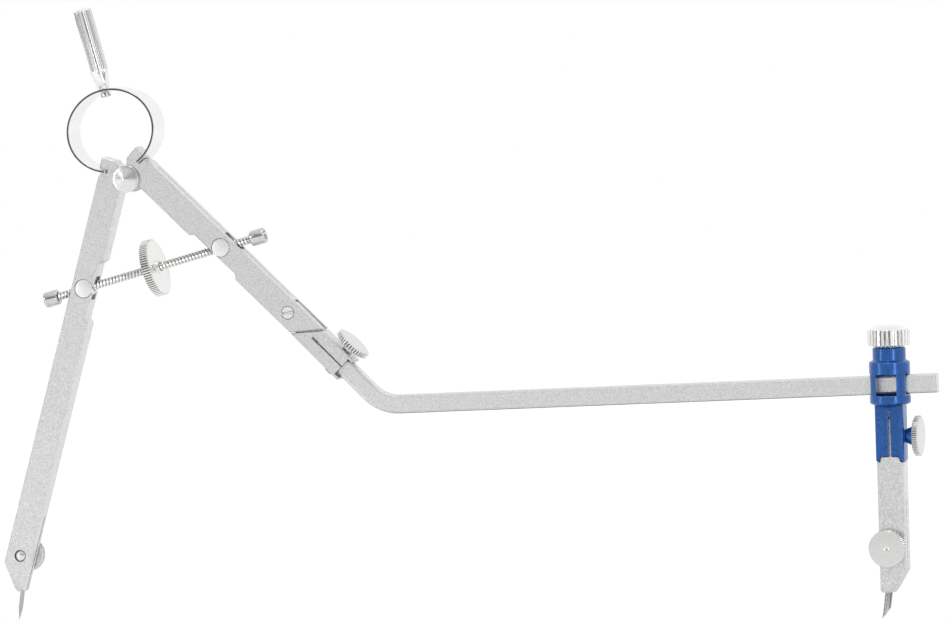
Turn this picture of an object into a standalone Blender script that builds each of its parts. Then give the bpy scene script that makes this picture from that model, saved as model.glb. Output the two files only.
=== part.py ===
"""Spring bow drawing compass with a centre wheel, an extension bar and a sliding lead clamp.

The compass stands upright in the XZ plane with its front facing -Y. The needle point and the
lead point touch one level sheet. The origin is the middle of the twirling handle. Lengths are
in metres, and everything across the thickness is measured from the middle plane, y = 0.
"""

import math

import bmesh
import bpy
from mathutils import Matrix, Vector

# Fits and helpers
clearance = 0.00025
close_fit = 0.0001
overrun = 0.002
edge_chamfer = 0.00025

# How the compass stands
half_opening = math.radians(31.3)
head_lean = math.radians(14.7)

# Pivot roller between the legs
pin_radius = 0.0029
flange_radius = 0.0038
flange_thickness = 0.0006
cone_height = 0.0010
rivet_radius = 0.0015

# Ring spring
ring_half_width = 0.01265
ring_half_height = 0.0114
ring_centre_height = 0.0140
ring_strip = 0.0006
ring_band = 0.0096
ring_end_offset = 0.0050

# Handle and its screw
handle_length = 0.0230
handle_radius = 0.0027
handle_foot_radius = 0.0017
handle_taper = 0.0046
handle_top_chamfer = 0.0006
handle_flutes = 9
flute_depth = 0.00035
handle_screw_radius = 0.0008
handle_screw_head_radius = 0.00135
handle_screw_head = 0.0012
handle_screw_reach = 0.0050

# Both legs
leg_width = 0.0073
leg_thickness = 0.0054
leg_inner_offset = 0.0009
corner_lip = 0.0005
ear_height = 0.0039
ear_width = 0.0039
ear_outer_step = 0.0003
ear_end_angle = math.radians(133.0)
side_groove_width = 0.0004
side_groove_depth = 0.0003
side_groove_start = 0.0040
side_groove_end = 0.0560

# Adjusting spindle, its nuts and its wheel
nut_radius = 0.00255
nut_to_cap = 0.0086
relief_length = 0.0182
relief_depth = 0.0011
spindle_radius = 0.00125
spindle_length = 0.0675
cap_radius = 0.0022
cap_length = 0.0041
cap_wall = 0.0009
cap_socket_radius = 0.0011
wheel_radius = 0.0081
wheel_thickness = 0.0026
wheel_teeth = 56
wheel_hub_radius = 0.0019
wheel_hub_length = 0.0036
most_closing = math.radians(30.0)
most_opening = math.radians(4.0)

# Knurled screw heads
tooth_depth = 0.00022
head_chamfer = 0.00025
head_dome = 0.0003

# Needle end of the left leg
left_leg_length = 0.1206
tip_taper = 0.0070
tip_width = 0.0024
jaw_offset = 0.0009
jaw_slot = 0.0005
jaw_length = 0.0220
tip_cone_radius = 0.0019
needle_screw_up = 0.0099
needle_screw_inset = 0.0005
needle_screw_radius = 0.0014
needle_head_radius = 0.0049
needle_head_thickness = 0.0017
needle_head_gap = 0.0005
needle_head_teeth = 36
needle_radius = 0.0006
needle_point_length = 0.0032
needle_point_radius = 0.00022
needle_length = 0.0162
needle_reach = 0.0084
needle_tilt = math.radians(7.4)
needle_exit_across = 0.00206

# Knee in the right leg
knee_share = 0.49254
knee_fold_at_rest = math.radians(0.9)
shoulder_inner = 0.0041
shoulder_outer = 0.0106
tongue_thickness = 0.0020
tongue_radius = 0.0035
tongue_slot_radius = 0.0038
tongue_relief = 0.0017
knee_head_radius = 0.00175
knee_head_depth = 0.0008
knee_stem_radius = 0.0011
screw_slot_width = 0.0005
screw_slot_depth = 0.0004
knee_slot_turn = math.radians(38.0)

# Tenon that both sockets take, and the socket of the knee
tenon_width = 0.0036
tenon_depth = 0.0032
tenon_length = 0.0102
fork_slot = 0.0020
knee_socket_end = 0.0228
lug_length = 0.0015
socket_slit_width = 0.00035
socket_slit_rise = 0.0010
slit_relief_width = 0.0007
slit_relief_length = 0.0026
socket_screw_up = 0.0038
pinch_screw_radius = 0.00075
pinch_neck_radius = 0.0015
socket_neck_length = 0.0014
socket_head_radius = 0.0052
socket_head_thickness = 0.0018
socket_head_teeth = 36
peened_radius = 0.0012
peened_length = 0.0006

# Extension bar
bar_height = 0.0052
bar_depth = 0.0032
bar_round = 0.0007
bar_bend_radius = 0.0120
bar_knee_side = 0.0138
bar_length = 0.1565
bar_rise = math.radians(1.5)

# Lead clamp on the bar
bar_past_clamp = 0.01315
clamp_neck_radius = 0.0045
clamp_neck_length = 0.0034
clamp_ring_radius = 0.00555
clamp_top_ring = 0.0037
clamp_low_ring = 0.0021
clamp_flat_reach = 0.00475
clamp_half_flat = 0.0030
clamp_ring_edge = 0.0003
clamp_cone_length = 0.0012
clamp_cone_end = 0.0023
window_width = 0.0057
clamp_screw_radius = 0.0018
clamp_head_radius = 0.00585
clamp_head_height = 0.0056
clamp_head_chamfer = 0.0012
clamp_head_teeth = 24
clamp_tooth_depth = 0.00035
fork_width = 0.0078
fork_thickness = 0.0054
fork_edge = 0.0005
fork_end = 0.0207
fork_slit_width = 0.00055
fork_slit_mouth = 0.0009
fork_slit_rise = 0.0019
fork_screw_up = 0.0068
recess_corner = 0.0008
boss_radius = 0.0027
boss_length = 0.0024
fork_head_radius = 0.0055
fork_head_thickness = 0.0017
fork_head_teeth = 38

# Lead holder and lead
holder_width = 0.0073
holder_thickness = 0.0054
lead_exit_height = 0.0072
holder_taper = 0.0061
holder_tip_width = 0.0039
holder_cone_radius = 0.00235
holder_jaw_offset = 0.0005
holder_jaw_share = 0.7
holder_screw_share = 0.3411
holder_screw_across = 0.00105
holder_screw_radius = 0.0013
holder_head_radius = 0.00515
holder_head_thickness = 0.0017
holder_head_teeth = 42
dimple_radius = 0.0009
lead_radius = 0.0010
lead_end_gap = 0.0008
lead_tilt = math.radians(8.2)
lead_exit_across = 0.0018
lead_bevel = 0.0034

# How finely round forms are cut
pin_steps = 24
disc_steps = 40
arc_steps = 8
corner_steps = 3
ring_steps = 56

# Places that follow from the sizes above
seat_radius = pin_radius + clearance
leg_middle = leg_inner_offset + leg_width / 2
half_leg = leg_thickness / 2
half_spindle_bore = spindle_radius + clearance
ring_top = ring_centre_height + ring_half_height + ring_strip / 2
handle_foot = ring_top + clearance
grip_height = handle_foot + handle_length / 2
nut_side = spindle_length / 2 - cap_length - nut_to_cap
nut_along = (nut_side - leg_middle * math.cos(half_opening)) / math.sin(half_opening)
nut_drop = nut_along * math.cos(half_opening) - leg_middle * math.sin(half_opening)
knee_along = knee_share * left_leg_length
shoulder_angle = math.atan2(leg_width, shoulder_outer - shoulder_inner)
recess_width = bar_height + 2 * clearance
tenon_bore_width = tenon_width + 2 * clearance
tenon_bore_depth = tenon_depth + 2 * clearance
clamp_along_bar = bar_length - bar_past_clamp
clamp_neck_bottom = clamp_half_flat + clamp_top_ring
clamp_neck_top = clamp_neck_bottom + clamp_neck_length
clamp_ring_bottom = clamp_half_flat + clamp_low_ring


def clear_scene():
    for item in list(bpy.data.objects):
        bpy.data.objects.remove(item)


# Places and materials


def place(name, parent=None, across=0.0, height=0.0, depth=0.0, turn=0.0):
    """An empty that carries pieces. Its turn is about the Y axis."""
    empty = bpy.data.objects.new(name, None)
    bpy.context.scene.collection.objects.link(empty)
    empty.parent = parent
    empty.location = (across, depth, height)
    empty.rotation_euler = (0, turn, 0)
    return empty


def finish(name, colour, roughness, metallic):
    """One Principled material, made once for each name."""
    material = bpy.data.materials.new(name)
    material.use_nodes = True
    shader = material.node_tree.nodes["Principled BSDF"]
    shader.inputs["Base Color"].default_value = (*colour, 1)
    shader.inputs["Roughness"].default_value = roughness
    shader.inputs["Metallic"].default_value = metallic
    return material


def satin(name):
    return finish(name, (0.66, 0.66, 0.65), 0.42, 0.9)


def polished(name):
    return finish(name, (0.82, 0.82, 0.82), 0.12, 1.0)


def blue(name):
    return finish(name, (0.02, 0.09, 0.36), 0.4, 0.6)


def graphite(name):
    return finish(name, (0.08, 0.08, 0.085), 0.5, 0.2)


# Mesh tools


def face_out(shape):
    bmesh.ops.recalc_face_normals(shape, faces=shape.faces[:])


def prism(outline, depth, chamfer=0.0, middle=0.0):
    """An outline of (x, z) points, thick along Y, with its rims chamfered."""
    shape = bmesh.new()
    front = [shape.verts.new((x, middle - depth / 2, z)) for x, z in outline]
    back = [shape.verts.new((x, middle + depth / 2, z)) for x, z in outline]
    shape.faces.new(front)
    shape.faces.new(back[::-1])
    count = len(outline)
    for index in range(count):
        after = (index + 1) % count
        shape.faces.new((front[index], back[index], back[after], front[after]))
    face_out(shape)
    if chamfer > 0:
        rims = [edge for edge in shape.edges if edge.verts[0].co.y == edge.verts[1].co.y]
        bmesh.ops.bevel(shape, geom=rims, offset=chamfer, segments=1, affect="EDGES")
    return shape


def block(width, depth, height, middle=(0, 0, 0), chamfer=0.0):
    """A box about its middle, with every edge chamfered if asked."""
    shape = bmesh.new()
    bmesh.ops.create_cube(shape, size=1)
    bmesh.ops.scale(shape, vec=(width, depth, height), verts=shape.verts)
    bmesh.ops.translate(shape, vec=middle, verts=shape.verts)
    if chamfer > 0:
        bmesh.ops.bevel(shape, geom=shape.edges[:], offset=chamfer, segments=1, affect="EDGES")
    return shape


def turned(rings, steps, along="Z"):
    """A turned form. Each ring is (radius, height) or (radius, height, notch depth)."""
    shape = bmesh.new()
    rows = []
    for ring in rings:
        radius, height = ring[0], ring[1]
        notch = ring[2] if len(ring) > 2 else 0
        if radius == 0:
            rows.append([shape.verts.new((0, 0, height))])
            continue
        row = []
        for step in range(steps):
            angle = 2 * math.pi * step / steps
            reach = radius - notch * (step % 2)
            row.append(shape.verts.new((reach * math.cos(angle), reach * math.sin(angle), height)))
        rows.append(row)
    for low, high in zip(rows, rows[1:]):
        for step in range(steps):
            after = (step + 1) % steps
            if len(low) == 1:
                shape.faces.new((low[0], high[step], high[after]))
            elif len(high) == 1:
                shape.faces.new((low[step], high[0], low[after]))
            else:
                shape.faces.new((low[step], low[after], high[after], high[step]))
    for row in (rows[0], rows[-1]):
        if len(row) > 1:
            shape.faces.new(row)
    face_out(shape)
    quarter = math.pi / 2
    turns = {"X": Matrix.Rotation(quarter, 4, "Y"), "Y": Matrix.Rotation(-quarter, 4, "X")}
    if along in turns:
        bmesh.ops.transform(shape, matrix=turns[along], verts=shape.verts)
    return shape


def rod(radius, start, end, along="Z", steps=pin_steps):
    return turned([(radius, start), (radius, end)], steps, along)


def piece(name, shape, parent, material, smooth=30.0):
    """Turns a mesh into a named solid on its place."""
    data = bpy.data.meshes.new(name)
    shape.to_mesh(data)
    shape.free()
    data.shade_smooth()
    data.set_sharp_from_angle(angle=math.radians(smooth))
    item = bpy.data.objects.new(name, data)
    bpy.context.scene.collection.objects.link(item)
    item.parent = parent
    if material:
        data.materials.append(material)
    return item


def helper(target, shape, parent, operation):
    """Cuts a hidden form out of a piece, or joins it on."""
    tool = piece(target.name + "_form", shape, parent, None)
    tool.hide_render = True
    tool.display_type = "WIRE"
    boolean = target.modifiers.new(operation.lower(), "BOOLEAN")
    boolean.operation = operation
    boolean.solver = "EXACT"
    boolean.object = tool


def cut(target, shape, parent):
    helper(target, shape, parent, "DIFFERENCE")


def join(target, shape, parent):
    helper(target, shape, parent, "UNION")


def cone_tip(target, parent, across, end, radius, length):
    """Turns the lower end of a piece to a blunt cone, so that its faces end in a curve."""
    slope_end = radius + leg_width
    rings = ((radius, end), (slope_end, end + leg_width), (slope_end, end + length))
    shape = turned(rings, disc_steps)
    bmesh.ops.translate(shape, vec=(across, 0, 0), verts=shape.verts)
    helper(target, shape, parent, "INTERSECT")


def arched(width, low, top, corner):
    """Outline of an opening from its lower edge up to a top with rounded corners."""
    points = [(width / 2, low)]
    for step in range(2 * corner_steps + 2):
        side = 1 if step <= corner_steps else -1
        angle = (step - (side < 0)) / corner_steps * math.pi / 2
        points.append(
            (
                side * (width / 2 - corner) + corner * math.cos(angle),
                top - corner + corner * math.sin(angle),
            )
        )
    return [*points, (-width / 2, low)]


# Head


def make_handle(head):
    """Fluted grip with a smooth tapered foot, drilled for its screw."""
    material = polished("handle_chrome")
    start = handle_foot
    waist = start + handle_taper
    top = start + handle_length
    steps = handle_flutes * 6
    shape = bmesh.new()
    rows = []
    rows_shape = (
        (handle_foot_radius, start, 0),
        (handle_radius - flute_depth, waist, 0),
        (handle_radius, waist + flute_depth, 1),
        (handle_radius, top - handle_top_chamfer, 1),
        (handle_radius - handle_top_chamfer, top, 0),
    )
    for radius, height, fluted in rows_shape:
        row = []
        for step in range(steps):
            angle = 2 * math.pi * step / steps
            wave = (1 - math.cos(handle_flutes * angle)) / 2
            reach = radius - fluted * flute_depth * wave
            row.append(shape.verts.new((reach * math.cos(angle), reach * math.sin(angle), height)))
        rows.append(row)
    for low, high in zip(rows, rows[1:]):
        for step in range(steps):
            after = (step + 1) % steps
            shape.faces.new((low[step], low[after], high[after], high[step]))
    shape.faces.new(rows[0])
    shape.faces.new(rows[-1])
    face_out(shape)
    handle = piece("handle", shape, head, material)
    bore = handle_screw_radius + clearance
    cut(handle, rod(bore, start - overrun, start + handle_screw_reach + clearance), head)


def make_handle_screw(head):
    """Screw that comes up through the ring into the handle."""
    under = ring_top - ring_strip - clearance
    low = under - handle_screw_head
    profile = (
        (handle_screw_head_radius - edge_chamfer, low),
        (handle_screw_head_radius, low + edge_chamfer),
        (handle_screw_head_radius, under),
        (handle_screw_radius, under),
        (handle_screw_radius, handle_foot + handle_screw_reach),
    )
    screw = piece("handle_screw", turned(profile, pin_steps), head, polished("screw_steel"))
    slot = block(
        2 * handle_screw_head_radius + overrun,
        screw_slot_width,
        2 * screw_slot_depth,
        (0, 0, low),
    )
    cut(screw, slot, head)


def ring_band_shape(strip, width, start_offset):
    """The open hoop of the ring spring, a strip that follows an ellipse over the top."""
    first = math.asin(start_offset / ring_half_width)
    sweep = 2 * (math.pi - first)
    shape = bmesh.new()
    rows = []
    for step in range(ring_steps + 1):
        angle = first + sweep * step / ring_steps
        middle = Vector((ring_half_width * math.sin(angle), -ring_half_height * math.cos(angle)))
        normal = Vector((ring_half_height * math.sin(angle), -ring_half_width * math.cos(angle)))
        normal.normalize()
        inner = middle - normal * strip / 2
        outer = middle + normal * strip / 2
        lift = ring_centre_height
        row = [
            shape.verts.new((point.x, depth, point.y + lift))
            for point, depth in (
                (inner, -width / 2),
                (outer, -width / 2),
                (outer, width / 2),
                (inner, width / 2),
            )
        ]
        rows.append(row)
    for low, high in zip(rows, rows[1:]):
        for corner in range(4):
            after = (corner + 1) % 4
            shape.faces.new((low[corner], low[after], high[after], high[corner]))
    shape.faces.new(rows[0])
    shape.faces.new(rows[-1])
    face_out(shape)
    return shape


def make_ring_spring(head):
    band = ring_band_shape(ring_strip, ring_band, ring_end_offset)
    ring = piece("ring_spring", band, head, satin("ring_steel"))
    hole = handle_screw_radius + clearance
    cut(ring, rod(hole, ring_centre_height, ring_top + overrun), head)


def make_pivot(head):
    """Roller pin with a coned front flange, and the flange riveted on its back."""
    face = half_leg + clearance
    profile = (
        (0, -face - flange_thickness - cone_height),
        (flange_radius - edge_chamfer, -face - flange_thickness),
        (flange_radius, -face - flange_thickness + edge_chamfer),
        (flange_radius, -face),
        (pin_radius, -face),
        (pin_radius, face - clearance),
        (rivet_radius, face - clearance),
        (rivet_radius, face + flange_thickness),
    )
    piece("pivot_roller", turned(profile, disc_steps, "Y"), head, satin("pivot_steel"))
    rim = (
        (flange_radius, face),
        (flange_radius, face + flange_thickness - edge_chamfer),
        (flange_radius - edge_chamfer, face + flange_thickness),
    )
    flange = piece("pivot_flange", turned(rim, disc_steps, "Y"), head, satin("flange_steel"))
    hole = rivet_radius + clearance
    cut(flange, rod(hole, face - overrun, face + flange_thickness + overrun, "Y"), head)


# Legs, drawn as (across, along) from the pivot, with across growing outwards


def leg_outline(side, lower):
    """Seat on the roller, hooked ear, shoulder and relief, then the points of the lower end."""
    inner = leg_inner_offset
    outer = inner + leg_width
    ear_out = outer + ear_outer_step
    seat_start = math.asin(inner / seat_radius)
    relief_start = nut_along - relief_length / 2
    relief_end = nut_along + relief_length / 2
    points = [
        (inner, relief_start),
        (inner + relief_depth, relief_start + relief_depth),
        (inner + relief_depth, relief_end - relief_depth),
        (inner, relief_end),
    ]
    points += lower
    points += [
        (outer, 3 * corner_lip),
        (outer - corner_lip, corner_lip),
        (ear_out, -2 * corner_lip),
        (ear_out, -ear_height),
        (ear_out - ear_width, -ear_height),
    ]
    seat_end = ear_end_angle
    ear_low = seat_radius + leg_inner_offset
    points.append((ear_low * math.sin(seat_end), ear_low * math.cos(seat_end)))
    for step in range(arc_steps + 1):
        angle = seat_end + (seat_start - seat_end) * step / arc_steps
        points.append((seat_radius * math.sin(angle), seat_radius * math.cos(angle)))
    return [(side * across, -along) for across, along in points]


def spindle_window(side):
    """The flared opening that lets the spindle swing in a leg while it opens and closes."""
    least = half_opening - most_closing
    most = half_opening + most_opening
    reach = (leg_width / 2 + half_spindle_bore * math.sin(most)) / math.cos(most) + clearance
    corners = []
    for angle, sign in ((least, 1), (most, -1)):
        away = Vector((math.cos(angle), math.sin(angle))) * reach
        across = Vector((math.sin(angle), -math.cos(angle))) * half_spindle_bore * sign
        corners.append(away + across)
    corners += [-corners[0], -corners[1]]
    outline = [(side * (leg_middle + point.x), -(nut_along + point.y)) for point in corners]
    return prism(outline, 2 * half_spindle_bore)


def cut_leg_openings(leg, parent, head, side):
    """Everything that both legs have cut into them."""
    nut_hole = rod(nut_radius + close_fit, -half_leg - overrun, half_leg + overrun, "Y", disc_steps)
    move = Vector((side * leg_middle, 0, -nut_along))
    bmesh.ops.translate(nut_hole, vec=move, verts=nut_hole.verts)
    cut(leg, nut_hole, parent)
    cut(leg, spindle_window(side), parent)
    strip = ring_strip + 2 * clearance
    cut(leg, ring_band_shape(strip, leg_thickness + overrun, ring_end_offset - clearance), head)
    outer = leg_inner_offset + leg_width
    length = side_groove_end - side_groove_start
    groove = block(
        2 * side_groove_depth,
        side_groove_width,
        length,
        (side * outer, 0, -side_groove_start - length / 2),
    )
    cut(leg, groove, parent)


def make_left_leg(parent, head):
    """Needle leg: a bar that ends in a sawn jaw, closed by the knurled screw."""
    outer = leg_inner_offset + leg_width
    inner = leg_inner_offset
    end = left_leg_length
    lower = [
        (inner, end - corner_lip),
        (inner + corner_lip, end),
        (inner + tip_width - corner_lip, end),
        (inner + tip_width, end - corner_lip),
        (outer, end - tip_taper),
    ]
    shape = prism(leg_outline(-1, lower), leg_thickness, edge_chamfer)
    leg = piece("left_leg", shape, parent, satin("left_leg_nickel"))
    cut_leg_openings(leg, parent, head, -1)
    middle = (-leg_middle, jaw_offset, -end + (jaw_length - overrun) / 2)
    slot = block(2 * leg_width, jaw_slot, jaw_length + overrun, middle)
    cut(leg, slot, parent)
    hole = rod(needle_screw_radius + clearance, -half_leg - overrun, half_leg + overrun, "Y")
    move = Vector((-leg_middle + needle_screw_inset, 0, -end + needle_screw_up))
    bmesh.ops.translate(hole, vec=move, verts=hole.verts)
    cut(leg, hole, parent)
    cone_tip(leg, parent, -needle_exit_across, -end, tip_cone_radius, end + leg_width)


def make_needle(parent, leg):
    """Shouldered needle, and the hole that holds it. Its place sits where it leaves the leg."""
    top = needle_length - needle_reach
    profile = (
        (0, -needle_reach),
        (needle_point_radius, -needle_reach + needle_point_length / 2),
        (needle_point_radius, -needle_reach + needle_point_length),
        (needle_radius, -needle_reach + needle_point_length),
        (needle_radius, top),
    )
    piece("needle", turned(profile, pin_steps), parent, polished("needle_steel"))
    hole = rod(needle_radius + clearance, -overrun, top + clearance)
    cut(leg, hole, parent)


def knurled_head(radius, start, thickness, teeth, along, way=1):
    """A disc with a sawtooth rim, both rims chamfered, and a low dome on the far side."""
    notch = tooth_depth
    rings = (
        (radius - head_chamfer - notch, way * start),
        (radius, way * (start + head_chamfer), notch),
        (radius, way * (start + thickness - head_chamfer), notch),
        (radius - head_chamfer - notch, way * (start + thickness)),
        (radius / 2, way * (start + thickness + head_dome)),
    )
    return turned(rings, 2 * teeth, along)


def knurled_screw(name, parent, material, head, stem, along):
    """A knurled head joined to its stem. The stem is a turned profile from the far end."""
    screw = piece(name, knurled_head(*head, along), parent, material)
    join(screw, turned(stem, pin_steps, along), parent)
    return screw


def make_needle_screw(parent):
    start = half_leg + needle_head_gap
    stem = (
        (needle_screw_radius - edge_chamfer, -half_leg),
        (needle_screw_radius, -half_leg + edge_chamfer),
        (needle_screw_radius, start + needle_head_thickness / 2),
    )
    head = (needle_head_radius, start, needle_head_thickness, needle_head_teeth)
    screw = knurled_screw("needle_screw", parent, satin("needle_screw_nickel"), head, stem, "Y")
    slot = block(
        screw_slot_width,
        2 * screw_slot_depth,
        2 * needle_screw_radius + overrun,
        (0, -half_leg, 0),
    )
    cut(screw, slot, parent)


def shoulder_line(gap):
    """The sloping end of the right leg, seen from the knee, moved along by a gap."""
    move = gap / math.sin(shoulder_angle)
    return shoulder_inner + move, shoulder_outer + move


def make_right_leg(parent, head, knee):
    """Upper part of the lead leg, with two cheeks that hold the knee's tongue."""
    inner = leg_inner_offset
    outer = inner + leg_width
    lower = [
        (inner, knee_along + shoulder_inner),
        (outer, knee_along + shoulder_outer),
    ]
    shape = prism(leg_outline(1, lower), leg_thickness, edge_chamfer)
    leg = piece("right_leg", shape, parent, satin("right_leg_nickel"))
    cut_leg_openings(leg, parent, head, 1)
    gap = tongue_thickness + 2 * clearance
    pocket = tongue_shape(tongue_slot_radius, gap, shoulder_outer + overrun, 0)
    move = Vector((leg_middle, 0, -knee_along))
    bmesh.ops.translate(pocket, vec=move, verts=pocket.verts)
    cut(leg, pocket, parent)
    cut(leg, knee_screw_shape(close_fit, overrun), knee)


def tongue_shape(radius, thickness, root, relief):
    """The knee's round-topped tongue, or the pocket for it. Relief thins its inner side."""
    outline = []
    for step in range(2 * arc_steps + 1):
        angle = math.pi * step / (2 * arc_steps)
        outline.append((radius * math.cos(angle), radius * math.sin(angle)))
    outline += [(relief - radius, -root), (radius, -root)]
    return prism(outline, thickness)


def knee_screw_shape(gap, extra):
    """Countersunk knee screw, or the hole for it."""
    profile = (
        (knee_head_radius + gap, -half_leg - extra),
        (knee_head_radius + gap, -half_leg + edge_chamfer),
        (knee_stem_radius + gap, -half_leg + knee_head_depth),
        (knee_stem_radius + gap, half_leg + extra),
    )
    return turned(profile, pin_steps, "Y")


def make_knee_screw(knee):
    screw = piece("knee_screw", knee_screw_shape(0, 0), knee, satin("knee_screw_nickel"))
    slot = block(
        2 * knee_head_radius + overrun,
        2 * screw_slot_depth,
        screw_slot_width,
        (0, -half_leg, 0),
    )
    bmesh.ops.rotate(slot, matrix=Matrix.Rotation(knee_slot_turn, 3, "Y"), verts=slot.verts)
    cut(screw, slot, knee)


def socket_cuts(target, parent, recess, mouth, slit, slit_mouth, slit_rise):
    """Recess, tenon bore and slit of a pinch socket that opens downwards at its mouth."""
    through = 2 * leg_thickness
    low = mouth - overrun
    bore_top = mouth + lug_length + tenon_length + clearance
    slit_top = bore_top + slit_rise
    wedge = [(slit_mouth / 2, low), (slit / 2, slit_top), (-slit / 2, slit_top)]
    wedge.append((-slit_mouth / 2, low))
    cut(target, prism(recess, through), parent)
    bore_middle = (0, 0, (low + bore_top) / 2)
    cut(target, block(tenon_bore_width, tenon_bore_depth, bore_top - low, bore_middle), parent)
    cut(target, prism(wedge, through), parent)
    return slit_top


def make_knee_socket(knee):
    """Tongue and pinch socket below the knee. The socket's mouth points down."""
    half = leg_width / 2
    near, far = shoulder_line(clearance)
    end = -knee_socket_end
    outline = [
        (-half, -near),
        (-half, end),
        (half, end),
        (half, -far),
    ]
    shape = prism(outline, leg_thickness, edge_chamfer)
    socket = piece("knee_socket", shape, knee, satin("knee_socket_nickel"))
    root = (near + far) / 2 + tongue_radius
    join(socket, tongue_shape(tongue_radius, tongue_thickness, root, tongue_relief), knee)
    hole = rod(knee_stem_radius + clearance, -half_leg, half_leg, "Y")
    cut(socket, hole, knee)
    half_recess = recess_width / 2
    recess_top = end + lug_length
    low = end - overrun
    recess = [(half_recess, low), (half_recess, recess_top)]
    recess += [(-half_recess, recess_top), (-half_recess, low)]
    slit = socket_slit_width
    slit_top = socket_cuts(socket, knee, recess, end, slit, slit, socket_slit_rise)
    relief_middle = (0, 0, slit_top - slit_relief_length / 2)
    relief = block(slit_relief_width, 2 * leg_thickness, slit_relief_length, relief_middle)
    cut(socket, relief, knee)
    screw_hole = rod(pinch_screw_radius + clearance, -leg_width, leg_width, "X")
    move = Vector((0, 0, end + socket_screw_up))
    bmesh.ops.translate(screw_hole, vec=move, verts=screw_hole.verts)
    cut(socket, screw_hole, knee)


def make_socket_screw(parent):
    half = leg_width / 2
    start = half + clearance + socket_neck_length
    peened = -half - clearance - peened_length
    stem = (
        (peened_radius - edge_chamfer, peened),
        (peened_radius, peened + edge_chamfer),
        (peened_radius, -half - clearance),
        (pinch_screw_radius, -half - clearance),
        (pinch_screw_radius, half + clearance),
        (pinch_neck_radius, half + clearance),
        (pinch_neck_radius, start + socket_head_thickness / 2),
    )
    head = (socket_head_radius, start, socket_head_thickness, socket_head_teeth)
    knurled_screw("socket_screw", parent, satin("socket_screw_nickel"), head, stem, "X")


# Spindle


def make_leg_nut(name, parent):
    """Round nut that turns in the leg, with the cross hole that the spindle runs in."""
    rings = (
        (nut_radius - edge_chamfer, -half_leg),
        (nut_radius, -half_leg + edge_chamfer),
        (nut_radius, half_leg - edge_chamfer),
        (nut_radius - edge_chamfer, half_leg),
    )
    nut = piece(name, turned(rings, disc_steps, "Y"), parent, satin(name + "_nickel"))
    cut(nut, rod(half_spindle_bore, -leg_width, leg_width, "X"), parent)


def make_spindle(parent):
    half = spindle_length / 2 - cap_wall - clearance
    rings = (
        (spindle_radius - edge_chamfer, -half),
        (spindle_radius, -half + edge_chamfer),
        (spindle_radius, half - edge_chamfer),
        (spindle_radius - edge_chamfer, half),
    )
    piece("spindle", turned(rings, pin_steps, "X"), parent, polished("spindle_steel"))


def make_adjusting_wheel(parent):
    """Knurled wheel with a short hub on both sides, bored for the spindle."""
    half = wheel_thickness / 2
    rim = (
        (wheel_radius - head_chamfer - tooth_depth, -half),
        (wheel_radius, -half + head_chamfer, tooth_depth),
        (wheel_radius, half - head_chamfer, tooth_depth),
        (wheel_radius - head_chamfer - tooth_depth, half),
    )
    shape = turned(rim, 2 * wheel_teeth, "X")
    wheel = piece("adjusting_wheel", shape, parent, satin("wheel_nickel"))
    half_hub = wheel_hub_length / 2
    join(wheel, rod(wheel_hub_radius, -half_hub, half_hub, "X"), parent)
    cut(wheel, rod(half_spindle_bore, -half_hub - overrun, half_hub + overrun, "X"), parent)


def make_spindle_cap(name, parent, side):
    """End cap over the spindle's end, with a hexagon socket in its outer face."""
    end = side * spindle_length / 2
    start = end - side * cap_length
    inward = side * edge_chamfer
    rings = (
        (cap_radius - edge_chamfer, start),
        (cap_radius, start + inward),
        (cap_radius, end - inward),
        (cap_radius - edge_chamfer, end),
    )
    cap = piece(name, turned(rings, pin_steps, "X"), parent, polished(name + "_steel"))
    floor = end - side * cap_wall
    cut(cap, rod(half_spindle_bore, start - side * overrun, floor, "X"), parent)
    dent = rod(cap_socket_radius, end - side * cap_wall / 2, end + side * overrun, "X", 6)
    cut(cap, dent, parent)


# Extension bar


def bar_section():
    """Rounded rectangle of the bar, as (up, depth) points."""
    high = bar_height / 2 - bar_round
    deep = bar_depth / 2 - bar_round
    points = []
    for quarter, (up, out) in enumerate(((1, 1), (-1, 1), (-1, -1), (1, -1))):
        for step in range(3):
            angle = (quarter + step / 2) * math.pi / 2
            points.append(
                (
                    up * high + bar_round * math.cos(angle),
                    out * deep + bar_round * math.sin(angle),
                )
            )
    return points


def make_extension_bar(parent, bend):
    """Bar from its tenon, down in line with the leg, round the bend and along to its end."""
    section = bar_section()
    tangent = bar_bend_radius * math.tan(bend / 2)
    first = bar_knee_side - tangent
    neck = lug_length - clearance
    stations = [(0, neck, 0), (0, -first, 0)]
    bend_steps = 2 * arc_steps
    for step in range(1, bend_steps + 1):
        angle = bend * step / bend_steps
        across = bar_bend_radius * (1 - math.cos(angle))
        along = -first - bar_bend_radius * math.sin(angle)
        stations.append((across, along, angle))
    last_across, last_along, _ = stations[-1]
    straight = bar_length - tangent
    stations.append(
        (
            last_across + straight * math.sin(bend),
            last_along - straight * math.cos(bend),
            bend,
        )
    )
    shape = bmesh.new()
    rows = []
    for across, along, angle in stations:
        right = Vector((math.cos(angle), math.sin(angle)))
        row = [
            shape.verts.new((across + up * right.x, deep, along + up * right.y))
            for up, deep in section
        ]
        rows.append(row)
    count = len(section)
    for low, high in zip(rows, rows[1:]):
        for corner in range(count):
            after = (corner + 1) % count
            shape.faces.new((low[corner], low[after], high[after], high[corner]))
    shape.faces.new(rows[0])
    shape.faces.new(rows[-1])
    face_out(shape)
    bar = piece("extension_bar", shape, parent, satin("bar_nickel"))
    add_tenon(bar, parent, neck, socket_screw_up)


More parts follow.
